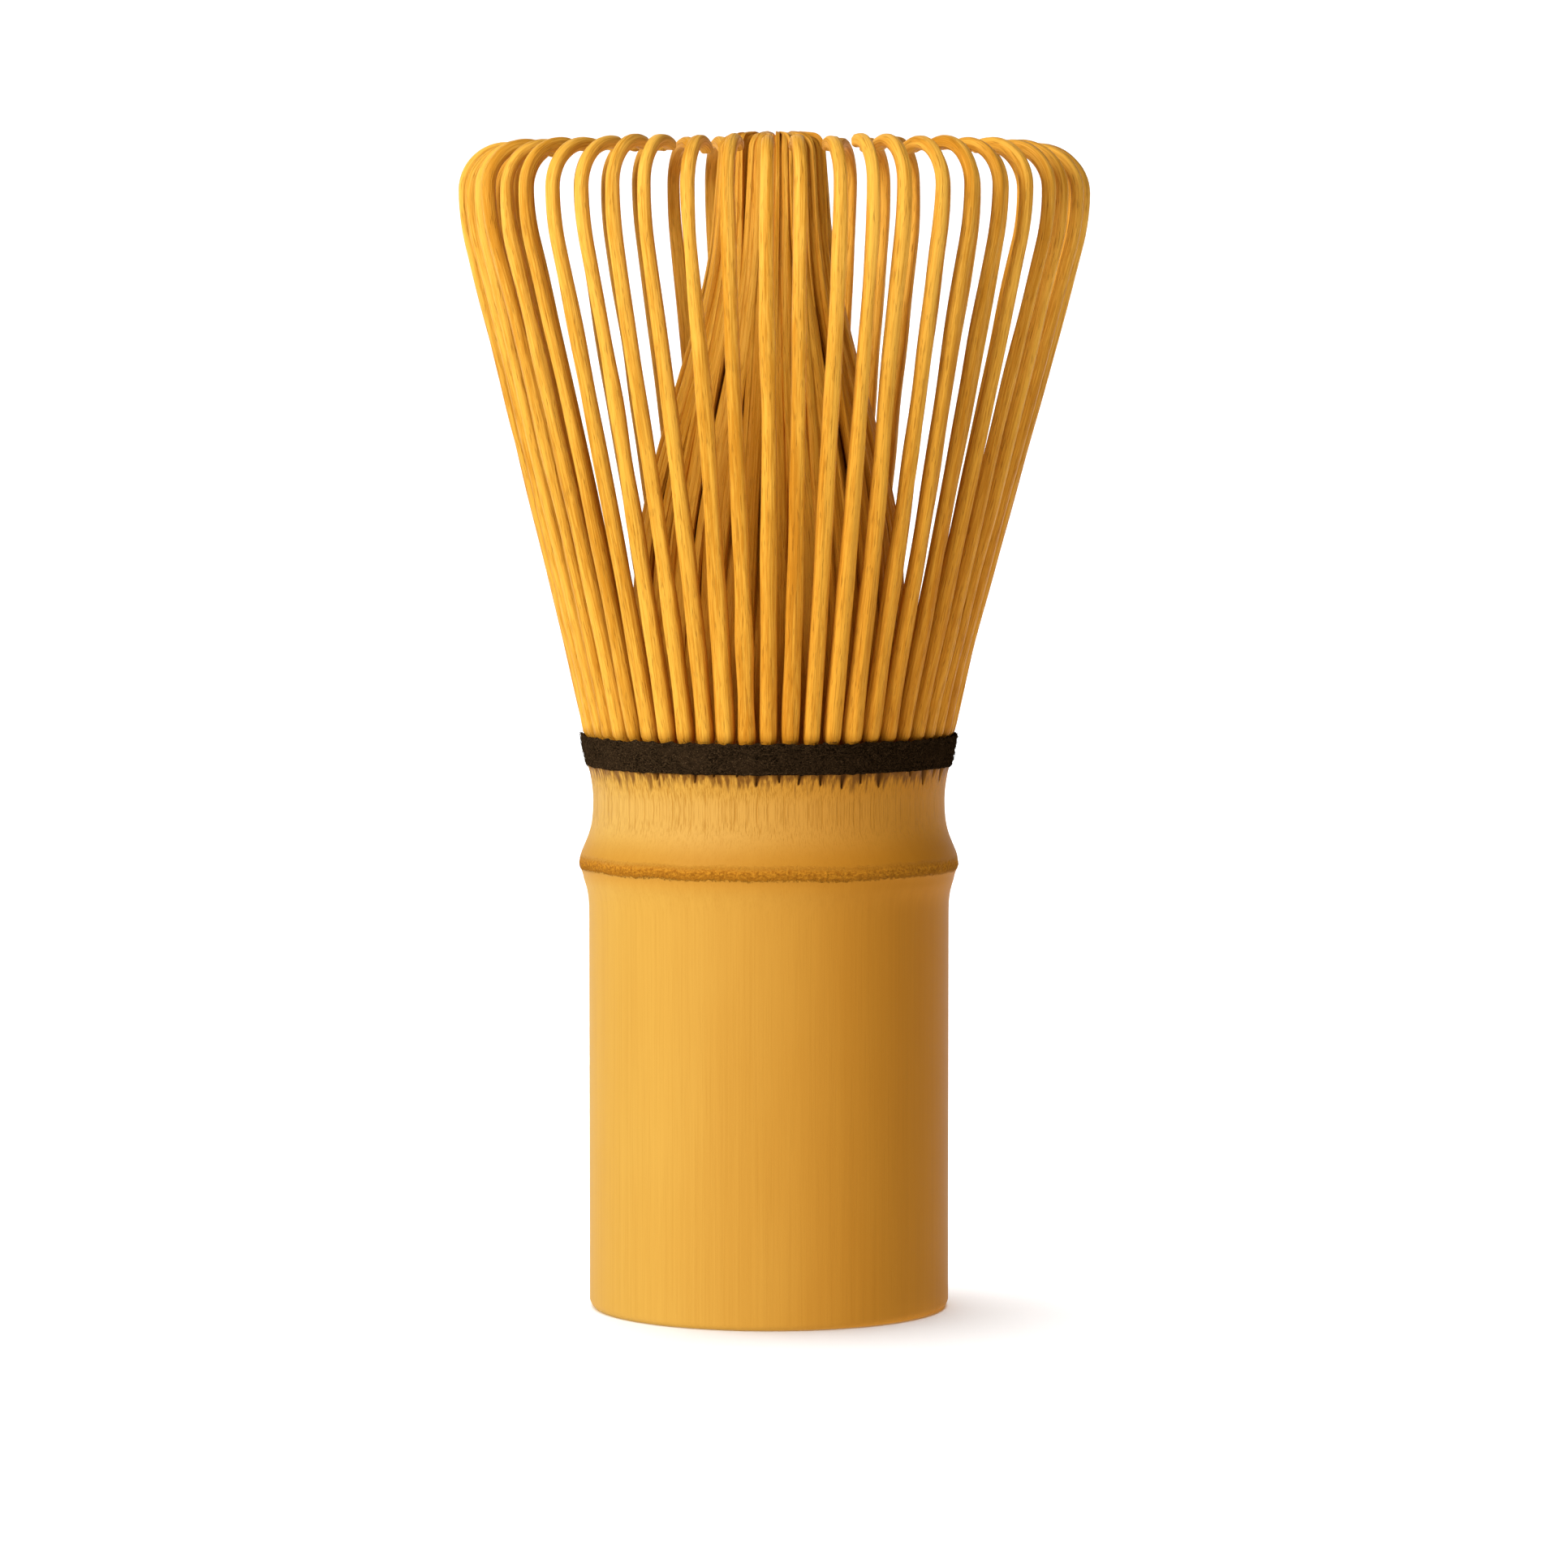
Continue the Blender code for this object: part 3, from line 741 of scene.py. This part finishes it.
def add_strand(piece, rng, angle, layer, share, half_depth, lift, slant):
    """Adds an inner tine. Its width is a share of the usual, and its top is lifted and moved sideways."""
    radial, height, lean = strand_line(rng, layer, half_depth)
    up = np.clip((height - ROOT_Z) / (TOP_Z - ROOT_Z), 0.0, 1.0)
    free = smoothstep(0.05, 0.6, up)
    sideways = STRAND_WAVER * wander(rng, 5, 0.7)(up) * free + slant * smoothstep(0.1, 1.0, up)
    outward = lift * smoothstep(0.1, 0.4, up) + STRAND_WAVER_OUT * wander(rng, 4, 0.6)(up) * free
    line = np.column_stack([radial + outward, sideways, height, lean])
    ends = rounded_ends(ROOT_END_LENGTH, STRAND_TIP_LENGTH, run_along(line))
    beside = math.tau / HEART_COUNT * 2 * heart_radius(height, layer)
    width = share * np.minimum(STRAND_COVER * beside, STRAND_WIDEST) * ends
    thick = half_depth * ends
    rings, grain = strip_rings(rng, line, width, thick, thick, STRAND_SIDES, STRAND_GROOVE)
    rings = turned(rings, angle)
    rings[..., 0] += HEART_SHIFT * smoothstep(0.1, 0.8, up)[:, None]
    points, faces = loft(rings)
    _, across, through = strip_section(STRAND_SIDES)
    # Painted shade for the hollow attribute: darker low down, on inner layers, and along the strand's
    # sides and inner face.
    side = np.clip(np.abs(across) - 0.55, 0, 1) * 1.3 + np.clip(-through, 0, 1) * 0.6
    low = 0.34 + 0.31 * (1.0 - up) + 0.16 * layer
    hollow = np.clip(low[:, None] * 0.6 + side[None, :] * 0.5, 0, 0.9)
    tint = np.full(len(points), rng.uniform(-0.7, 0.5))
    piece.add(points, faces, grain=grain, tint=tint, hollow=hollow.reshape(-1))


def build_heart(material):
    """Each sector has its share of the inner tines, and finer splinters that lie over them."""
    per_sector = HEART_COUNT // len(HEART_NODES)
    pitch = math.tau / HEART_COUNT
    for sector, node in enumerate(HEART_NODES):
        rng = random.Random(node)
        piece = Piece()
        middle = FRONT + math.tau * sector / len(HEART_NODES)
        for index in range(per_sector):
            layer = HEART_LAYERS[index % len(HEART_LAYERS)]
            angle = middle + pitch * (index - (per_sector - 1) / 2)
            share = (1.0 if layer == 0 else INNER_LAYER_SHARE) * rng.uniform(0.88, 1.12)
            slant = STRAND_SLANT * rng.uniform(-1.0, 1.0)
            add_strand(piece, rng, angle, layer, share, STRAND_HALF_DEPTH, 0.0, slant)
        for index in range(per_sector):
            angle = middle + pitch * (index - (per_sector - 1) / 2) + rng.uniform(-0.4, 0.4) * pitch
            share = rng.uniform(0.26, 0.50)
            slant = SPLINTER_SLANT * rng.uniform(-1.0, 1.0)
            add_strand(piece, rng, angle, 0, share, SPLINTER_HALF_DEPTH, SPLINTER_LIFT, slant)
        place(piece.build(node + "_strands", material), ROOT_BODY, "split_bamboo", node)


# ---------------------------------------------------------------- thread


def edge_wave(rng, azimuth, broad, fine):
    """Slow and quick waves of a felt edge, of about the two given sizes."""
    slow = broad * ring_wave(rng, azimuth, 3, 30, 0.3)
    return slow + fine * ring_wave(rng, azimuth, 50, 150)


def felt_edges(rng, azimuth, gap_offset, strength):
    """Heights of the band's lower and upper edges, the upper one scalloped at the gaps between tines."""
    low = BINDING_LOW.z - FELT_BELOW + edge_wave(rng, azimuth, 0.07 * MM, 0.06 * MM)
    high = BINDING_HIGH.z - FELT_SHORT_OF_TOP + edge_wave(rng, azimuth, 0.06 * MM, 0.05 * MM)
    scallop = FELT_SCALLOP * np.exp(-((gap_offset / (0.30 * MM)) ** 2)) * (0.4 + strength)
    return low, high + scallop


def build_binding(material):
    """The felted band: rounded edges that wave, creases at the gaps between tines, and faint turns."""
    around, section = TINE_COUNT * 16, 44
    rng = random.Random(11)
    azimuth = np.arange(around) * math.tau / around
    gap_phase = (azimuth - FRONT) / TINE_PITCH - 0.5
    gap_index = np.round(gap_phase).astype(int) % TINE_COUNT
    gap_offset = (gap_phase - np.round(gap_phase)) * TINE_PITCH * BINDING_HIGH.x
    strength = np.array([rng.uniform(0.0, 1.0) ** 2 for _ in range(TINE_COUNT)])[gap_index]
    crease = strength * np.exp(-((gap_offset / FELT_CREASE_WIDTH) ** 2))
    low, high = felt_edges(rng, azimuth, gap_offset, strength)

    turn = np.arange(section) * math.tau / section
    side = np.sign(np.cos(turn)) * np.abs(np.cos(turn)) ** 0.45
    rise = np.sign(np.sin(turn)) * np.abs(np.sin(turn)) ** 0.75
    height = low[:, None] + (high - low)[:, None] * (rise[None, :] + 1.0) / 2
    above_low = height - BINDING_LOW.z
    outer = FELT_LOW_RADIUS + FELT_LEAN * above_low
    ridge = FELT_TURN_RIDGE * np.cos(above_low / FELT_TURN_PITCH * math.tau + azimuth[:, None])
    radius = outer - FELT_EDGE + FELT_EDGE * side[None, :]
    radius = radius + (side[None, :] > 0) * (ridge - FELT_CREASE * crease[:, None])
    rings = np.empty((around, section, 3))
    rings[..., 0] = radius * np.cos(azimuth)[:, None]
    rings[..., 1] = radius * np.sin(azimuth)[:, None]
    rings[..., 2] = height

    arc = np.broadcast_to((azimuth * BINDING_HIGH.x / MM)[:, None], radius.shape)
    grain = np.stack([arc, radius / MM, height / MM], axis=-1).reshape(-1, 3)
    flat = rings.reshape(-1, 3)
    fine = FELT_FINE_FUZZ * lattice_noise(flat / (0.20 * MM), 3)
    broad = FELT_BROAD_FUZZ * lattice_noise(flat / (0.7 * MM), 5)
    fuzz = (fine + broad).reshape(around, section) * (side > 0)[None, :]
    outward = np.stack([np.cos(azimuth), np.sin(azimuth), np.zeros(around)], axis=-1)
    rings = rings + outward[:, None, :] * fuzz[..., None]
    points, faces = loft(rings, closed_run=True)
    piece = Piece()
    piece.add(points, faces, grain=grain, tint=np.zeros(len(points)))
    add_fuzz(piece, rng)
    place(piece.build("binding_thread_felt", material), ROOT_BODY, "black_thread", "binding_thread")


def add_fuzz(piece, rng):
    """Short loose fibres that lie on the band and stand off its edges."""
    for _ in range(LOOSE_FIBRES):
        azimuth = rng.uniform(0, math.tau)
        share = rng.uniform(-0.02, 1.02)
        z = BINDING_LOW.z + share * (BINDING_HIGH.z - BINDING_LOW.z - 0.15 * MM)
        radius = FELT_LOW_RADIUS + 0.01 * MM + FELT_LEAN * (z - BINDING_LOW.z)
        radius = radius - 0.10 * MM * abs(2 * share - 1) ** 4
        length = rng.uniform(0.35, 0.95) * MM
        slope = rng.gauss(0.0, 0.55)
        lift = rng.uniform(0.02, 0.16) * MM
        thick = rng.uniform(0.010, 0.020) * MM
        s = np.linspace(-0.5, 0.5, 6)
        angle = azimuth + s * length * math.cos(slope) / radius
        curl = rng.uniform(-0.25, 0.25) * length * (s**2)
        height = z + s * length * math.sin(slope) + curl
        out = radius + lift * (1 - (2 * s) ** 2) + rng.uniform(-0.03, 0.05) * MM
        centre = np.stack([out * np.cos(angle), out * np.sin(angle), height], axis=-1)
        outward = np.array([math.cos(azimuth), math.sin(azimuth), 0.0])
        along = centre[-1] - centre[0]
        sideways = np.cross(along / np.linalg.norm(along), outward)
        sides = [math.cos(a) * outward + math.sin(a) * sideways for a in (0, 2.1, 4.2)]
        rings = np.stack([centre + thick * direction for direction in sides], axis=1)
        points, faces = loft(rings)
        grain = np.tile(np.array([[rng.uniform(0, 90), rng.uniform(0, 90), 0.0]]), (len(points), 1))
        piece.add(points, faces, grain=grain, tint=np.full(len(points), rng.uniform(0.0, 0.7) ** 2))


def build_lacing(material):
    """Two twisted plies, laced round between the outer and the inner tines."""
    low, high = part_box("lacing_thread")
    around_radius = high.x - LACING_DIAMETER / 2
    rise = (high.z - low.z - LACING_DIAMETER) / LACING_TURNS
    steps = 420
    share = np.linspace(0.0, LACING_TURNS, steps)
    azimuth = math.pi / 2 + math.tau * share
    piece = Piece()
    for ply in (0.0, math.pi):
        twist = share * math.tau * LACING_TWISTS + ply
        radius = around_radius + PLY_OFFSET * np.cos(twist)
        height = low.z + LACING_DIAMETER / 2 + rise * share + PLY_OFFSET * np.sin(twist)
        centre = np.stack([radius * np.cos(azimuth), radius * np.sin(azimuth), height], axis=-1)
        outward = np.stack([np.cos(azimuth), np.sin(azimuth), np.zeros(steps)], axis=-1)
        upward = np.array([0.0, 0.0, 1.0])
        around = np.arange(8) * math.tau / 8
        sides = np.cos(around)[None, :, None] * outward[:, None, :]
        sides = sides + np.sin(around)[None, :, None] * upward
        rings = centre[:, None, :] + PLY_RADIUS * sides
        points, faces = loft(rings)
        grain = rings.reshape(-1, 3) / MM
        piece.add(points, faces, grain=grain, tint=np.zeros(len(points)))
    place(piece.build("lacing_thread_plies", material), ROOT_BODY, "black_thread", "lacing_thread")


# ---------------------------------------------------------------- culm


def skin_radius(z):
    """The skin's plain profile: grip, swell at the node, waisted neck, and a flare to the rim."""
    above = z > NODE_Z
    plain = np.where(above, NECK_RADIUS, GRIP_RADIUS)
    reach = np.where(above, 2.6 * MM, 2.0 * MM)
    swell = (NODE_RADIUS - plain) * np.exp(-(((z - NODE_Z) / reach) ** 2))
    flare_z = 46.8 * MM
    flare = 0.55 * MM * (np.clip(z - flare_z, 0.0, None) / (RIM_Z - flare_z)) ** 2
    return plain + swell + flare


def culm_heights():
    """Heights of the skin's rings: closer together where the skin has detail."""
    spans = (
        (BASE_EDGE, 34 * MM, 26),
        (34 * MM, 39.4 * MM, 14),
        (39.4 * MM, 42.4 * MM, 24),
        (42.4 * MM, 47.6 * MM, 14),
        (47.6 * MM, RIM_Z - 0.1 * MM, 26),
    )
    return np.concatenate([np.linspace(low, high, count, endpoint=False) for low, high, count in spans])


def culm_azimuths():
    """Angles round the culm, closer together at each split between two tine roots."""
    half = (0.02, 0.06, 0.11, 0.17, 0.25, 0.36)
    steps = np.array((-0.5, *(-step for step in reversed(half)), *half))
    splits = FRONT + (np.arange(TINE_COUNT) + 0.5) * TINE_PITCH
    return (splits[:, None] + steps[None, :] * TINE_PITCH).ravel()


def add_node_scar(rng, azimuth, z, radius):
    """The skin's radius with the gritty scar at the node, on a low ledge with a groove under it."""
    waves = np.zeros(len(azimuth))
    for k in (4, 9, 15):
        waves += rng.uniform(0.3, 1.0) * np.cos(k * azimuth + rng.uniform(0, math.tau))
    scar_at = SCAR_Z + 0.05 * MM * waves / 2
    flat = np.stack([radius * np.cos(azimuth), radius * np.sin(azimuth), z], axis=-1).reshape(-1, 3)
    grit = lattice_noise(flat / (0.26 * MM), 1) + 0.6 * lattice_noise(flat / (0.55 * MM), 2)
    grit = grit.reshape(radius.shape)
    from_scar = z - scar_at[None, :]
    scar = np.exp(-(((from_scar - 0.15 * MM) / (0.42 * MM)) ** 2))
    ledge = smoothstep(-0.55 * MM, -0.30 * MM, from_scar) * (1.0 - smoothstep(0.0, 2.6 * MM, from_scar))
    groove = np.exp(-(((from_scar + 0.85 * MM) / (0.45 * MM)) ** 2))
    return radius + scar * (0.09 * MM * grit - 0.05 * MM) + 0.07 * MM * ledge - 0.07 * MM * groove


def split_shapes(rng, per_split):
    """Depth, greatest half width, sideways offset and slant of each split, repeated for its azimuths."""
    ranges = ((0.10, 0.28), (-0.14, 0.14), (-0.16, 0.16))
    depth = [(0.30 + 1.5 * rng.random() ** 1.5) * MM for _ in range(TINE_COUNT)]
    widest, aside, slant = [[rng.uniform(*ends) for _ in range(TINE_COUNT)] for ends in ranges]
    shapes = (depth, np.array(widest) * MM, np.array(aside) * MM, slant)
    return [np.repeat(values, per_split)[None, :] for values in shapes]


def add_splits(azimuth, z, radius, shapes):
    """The skin's radius with a split between every two tine roots, and a mask of stain and painted shade
    there.
    """
    depth, widest, aside, slant = shapes
    phase = (azimuth - FRONT) / TINE_PITCH - 0.5
    offset = (phase - np.round(phase)) * TINE_PITCH * GRIP_RADIUS
    above = np.clip((z - (RIM_Z - depth)) / MM, 0.0, None)
    half_gap = 0.05 * MM + widest * np.clip(above / 1.3, 0.0, 1.0) ** 1.2
    from_split = offset[None, :] - aside - slant * (RIM_Z - z)
    opened = smoothstep(0.0, 0.35, above)
    cleft = np.exp(-((from_split / half_gap) ** 2)) * opened
    stain_and_painted_shade = np.exp(-((from_split / (1.9 * half_gap)) ** 2)) * smoothstep(0.0, 0.20, above)
    near_rim = smoothstep(RIM_Z - ROUND_RIM, RIM_Z, z)
    lobe = near_rim * (1.0 - np.cos(math.tau * phase))[None, :] / 2
    return radius - CLEFT_DEPTH * cleft + 0.11 * MM * (lobe - 0.5) * near_rim, stain_and_painted_shade


def bore_outline():
    """Radius and height from the septum's underside down the bore to the foot's flat."""
    return (
        (0.02 * MM, SEPTUM_LOW_Z),
        (4.0 * MM, SEPTUM_LOW_Z),
        (9.0 * MM, SEPTUM_LOW_Z - 0.1 * MM),
        (BORE_RADIUS - 0.9 * MM, SEPTUM_LOW_Z - 0.5 * MM),
        (BORE_RADIUS, SEPTUM_LOW_Z - 1.6 * MM),
        (BORE_RADIUS, 20.0 * MM),
        (BORE_RADIUS, 0.35 * MM),
        (BORE_RADIUS + 0.3 * MM, 0.0),
        ((BORE_RADIUS + GRIP_RADIUS) / 2, 0.0),
        (GRIP_RADIUS - BASE_EDGE, 0.0),
    )


def foot_edge():
    """Radius and height round the foot's rounded edge."""
    angles = [math.pi / 2 * step / 5 for step in (1, 2, 3, 4)]
    return [(GRIP_RADIUS - BASE_EDGE * (1 - math.sin(a)), BASE_EDGE * (1 - math.cos(a))) for a in angles]


def neck_outline():
    """Radius and height from the rim down the neck's hollow to the septum's top."""
    return (
        (NECK_RADIUS - 0.5 * MM, RIM_Z),
        (14.0 * MM, RIM_Z),
        (NECK_BORE_RADIUS, RIM_Z),
        (NECK_BORE_RADIUS, SEPTUM_HIGH_Z + 2.0 * MM),
        (NECK_BORE_RADIUS - 1.0 * MM, SEPTUM_HIGH_Z + 0.4 * MM),
        (8.0 * MM, SEPTUM_HIGH_Z),
        (0.02 * MM, SEPTUM_HIGH_Z),
    )


def build_culm(material):
    """The whole culm as one closed skin: bore, foot, outside, rim and the hollow neck."""
    rng = random.Random(5)
    azimuth = culm_azimuths()
    count = len(azimuth)
    oval = 1.0 + 0.0022 * np.cos(2 * azimuth + 0.7) + 0.0012 * np.cos(3 * azimuth + 2.0)
    z = np.repeat(culm_heights()[:, None], count, axis=1)
    shapes = split_shapes(rng, count // TINE_COUNT)
    radius = add_node_scar(rng, azimuth, z, skin_radius(z) * oval[None, :])
    radius, stain_and_painted_shade = add_splits(azimuth, z, radius, shapes)

    def stretch(outline, inner):
        rows = np.array([(r, h, inner, 0.0) for r, h in outline])
        return np.repeat(rows[:, None, :], count, axis=1)

    skin = np.stack([radius, z, np.zeros_like(z), stain_and_painted_shade], axis=-1)
    parts = (stretch(bore_outline(), 1.0), stretch(foot_edge(), 0.0), skin, stretch(neck_outline(), 1.0))
    radii, levels, inside, hollow = np.moveaxis(np.concatenate(parts), -1, 0)
    rings = np.stack([radii * np.cos(azimuth), radii * np.sin(azimuth), levels], axis=-1)
    points, faces = loft(rings)
    piece = Piece()
    piece.add(points, faces, inside=inside.reshape(-1), hollow=hollow.reshape(-1))
    place(piece.build("culm_grip_skin", material, math.radians(40)), ROOT_BODY, "bamboo_skin", "culm_grip")


# ---------------------------------------------------------------- stage


def build_sweep():
    """A pale floor that curves up into a backdrop far behind the whisk.

    It throws no light back on the whisk: the glow of the room stands in for that."""
    bend_from = SWEEP_BACK - SWEEP_BEND
    profile = [(-SWEEP_HALF_WIDTH, 0.0), (bend_from, 0.0)]
    for step in range(1, SWEEP_STEPS + 1):
        angle = math.pi / 2 * step / SWEEP_STEPS
        profile.append((bend_from + SWEEP_BEND * math.sin(angle), SWEEP_BEND * (1 - math.cos(angle))))
    profile.append((SWEEP_BACK, SWEEP_TOP))
    points = [(x, y, z) for y, z in profile for x in (-SWEEP_HALF_WIDTH, SWEEP_HALF_WIDTH)]
    faces = [(2 * i, 2 * i + 1, 2 * i + 3, 2 * i + 2) for i in range(len(profile) - 1)]
    mesh = bpy.data.meshes.new("sweep")
    mesh.from_pydata(points, [], faces)
    mesh.shade_smooth()
    mesh.materials.append(paper_material())
    sweep = bpy.data.objects.new("sweep", mesh)
    bpy.context.scene.collection.objects.link(sweep)
    sweep.visible_diffuse = False


def place_lamp(light, place_m, aim, sweep_state):
    """Aim a lamp, and keep it either off the sweep ("EXCLUDE") or on the sweep alone ("INCLUDE")."""
    obj = bpy.data.objects.new(light.name, light)
    bpy.context.scene.collection.objects.link(obj)
    obj.location = place_m
    obj.rotation_euler = (Vector(aim) - obj.location).to_track_quat("-Z", "Y").to_euler()
    lit = bpy.data.collections.new(light.name + "_receivers")
    lit.objects.link(bpy.data.objects["sweep"])
    lit.collection_objects[0].light_linking.link_state = sweep_state
    obj.light_linking.receiver_collection = lit


def area_light(name, place_m, aim, size, power, sweep_state):
    light = bpy.data.lights.new(name, "AREA")
    light.shape = "DISK"
    light.size = size
    light.energy = power
    place_lamp(light, place_m, aim, sweep_state)


def floor_sun(strength, spread):
    """Even light on the sweep alone, from above, a little behind and to the left."""
    light = bpy.data.lights.new("floor_sun", "SUN")
    light.energy = strength
    light.angle = math.radians(spread)
    place_lamp(light, (-0.35, 0.25, 1.0), (0.0, 0.0, 0.0), "INCLUDE")


def build_room():
    """A room that shines from below, as a wide white table would, and a little from above.

    The camera sees it plain white."""
    world = bpy.data.worlds.new("pale_room")
    world.use_nodes = True
    tree = world.node_tree
    towards = add(tree, "ShaderNodeTexCoord").outputs["Generated"]
    height = add(tree, "ShaderNodeSeparateXYZ", {0: towards}).outputs["Z"]
    glow = ranged(tree, height, -0.05, 0.05, GLOW_BELOW, GLOW_ABOVE)
    seen = add(tree, "ShaderNodeLightPath").outputs["Is Camera Ray"]
    background = tree.nodes["Background"]
    background.inputs["Color"].default_value = (1.0, 1.0, 1.0, 1.0)
    tree.links.new(math_node(tree, "MAXIMUM", seen, glow), background.inputs["Strength"])
    bpy.context.scene.world = world


def build_lights():
    """Lamps that each light either the whisk or the sweep."""
    neck = (0.0, 0.0, 0.06)
    heart = (0.0, 0.0, 0.09)
    backdrop = (0.0, SWEEP_BACK, 0.5)
    area_light("key", (-0.95, -0.95, 0.75), neck, size=0.8, power=23.4, sweep_state="EXCLUDE")
    area_light("top", (0.25, -0.55, 1.35), heart, size=1.2, power=3.2, sweep_state="EXCLUDE")
    floor_sun(strength=4.5, spread=90.0)
    area_light("backdrop_light", (0.0, 0.55, 1.9), backdrop, size=1.6, power=26.0, sweep_state="INCLUDE")


def build_camera():
    camera = bpy.data.cameras.new("camera")
    camera.lens = CAMERA_LENS
    camera.sensor_width = 36.0
    camera.clip_start = 0.01
    obj = bpy.data.objects.new("camera", camera)
    bpy.context.scene.collection.objects.link(obj)
    obj.location = CAMERA_PLACE
    obj.rotation_euler = (CAMERA_PITCH, 0.0, 0.0)
    bpy.context.scene.camera = obj


def main():
    bpy.context.scene.view_settings.view_transform = "Standard"
    build_camera()
    build_room()
    build_sweep()
    build_lights()
    strip_bamboo = split_bamboo_material()
    skin = bamboo_skin_material()
    thread = thread_material()
    joints = {joint["child"]: joint for joint in frame["joints"]}
    for node in TINE_NODES:
        build_outer_tine(node, joints[node], strip_bamboo)
    build_heart(strip_bamboo)
    build_binding(thread)
    build_lacing(thread)
    build_culm(skin)


main()
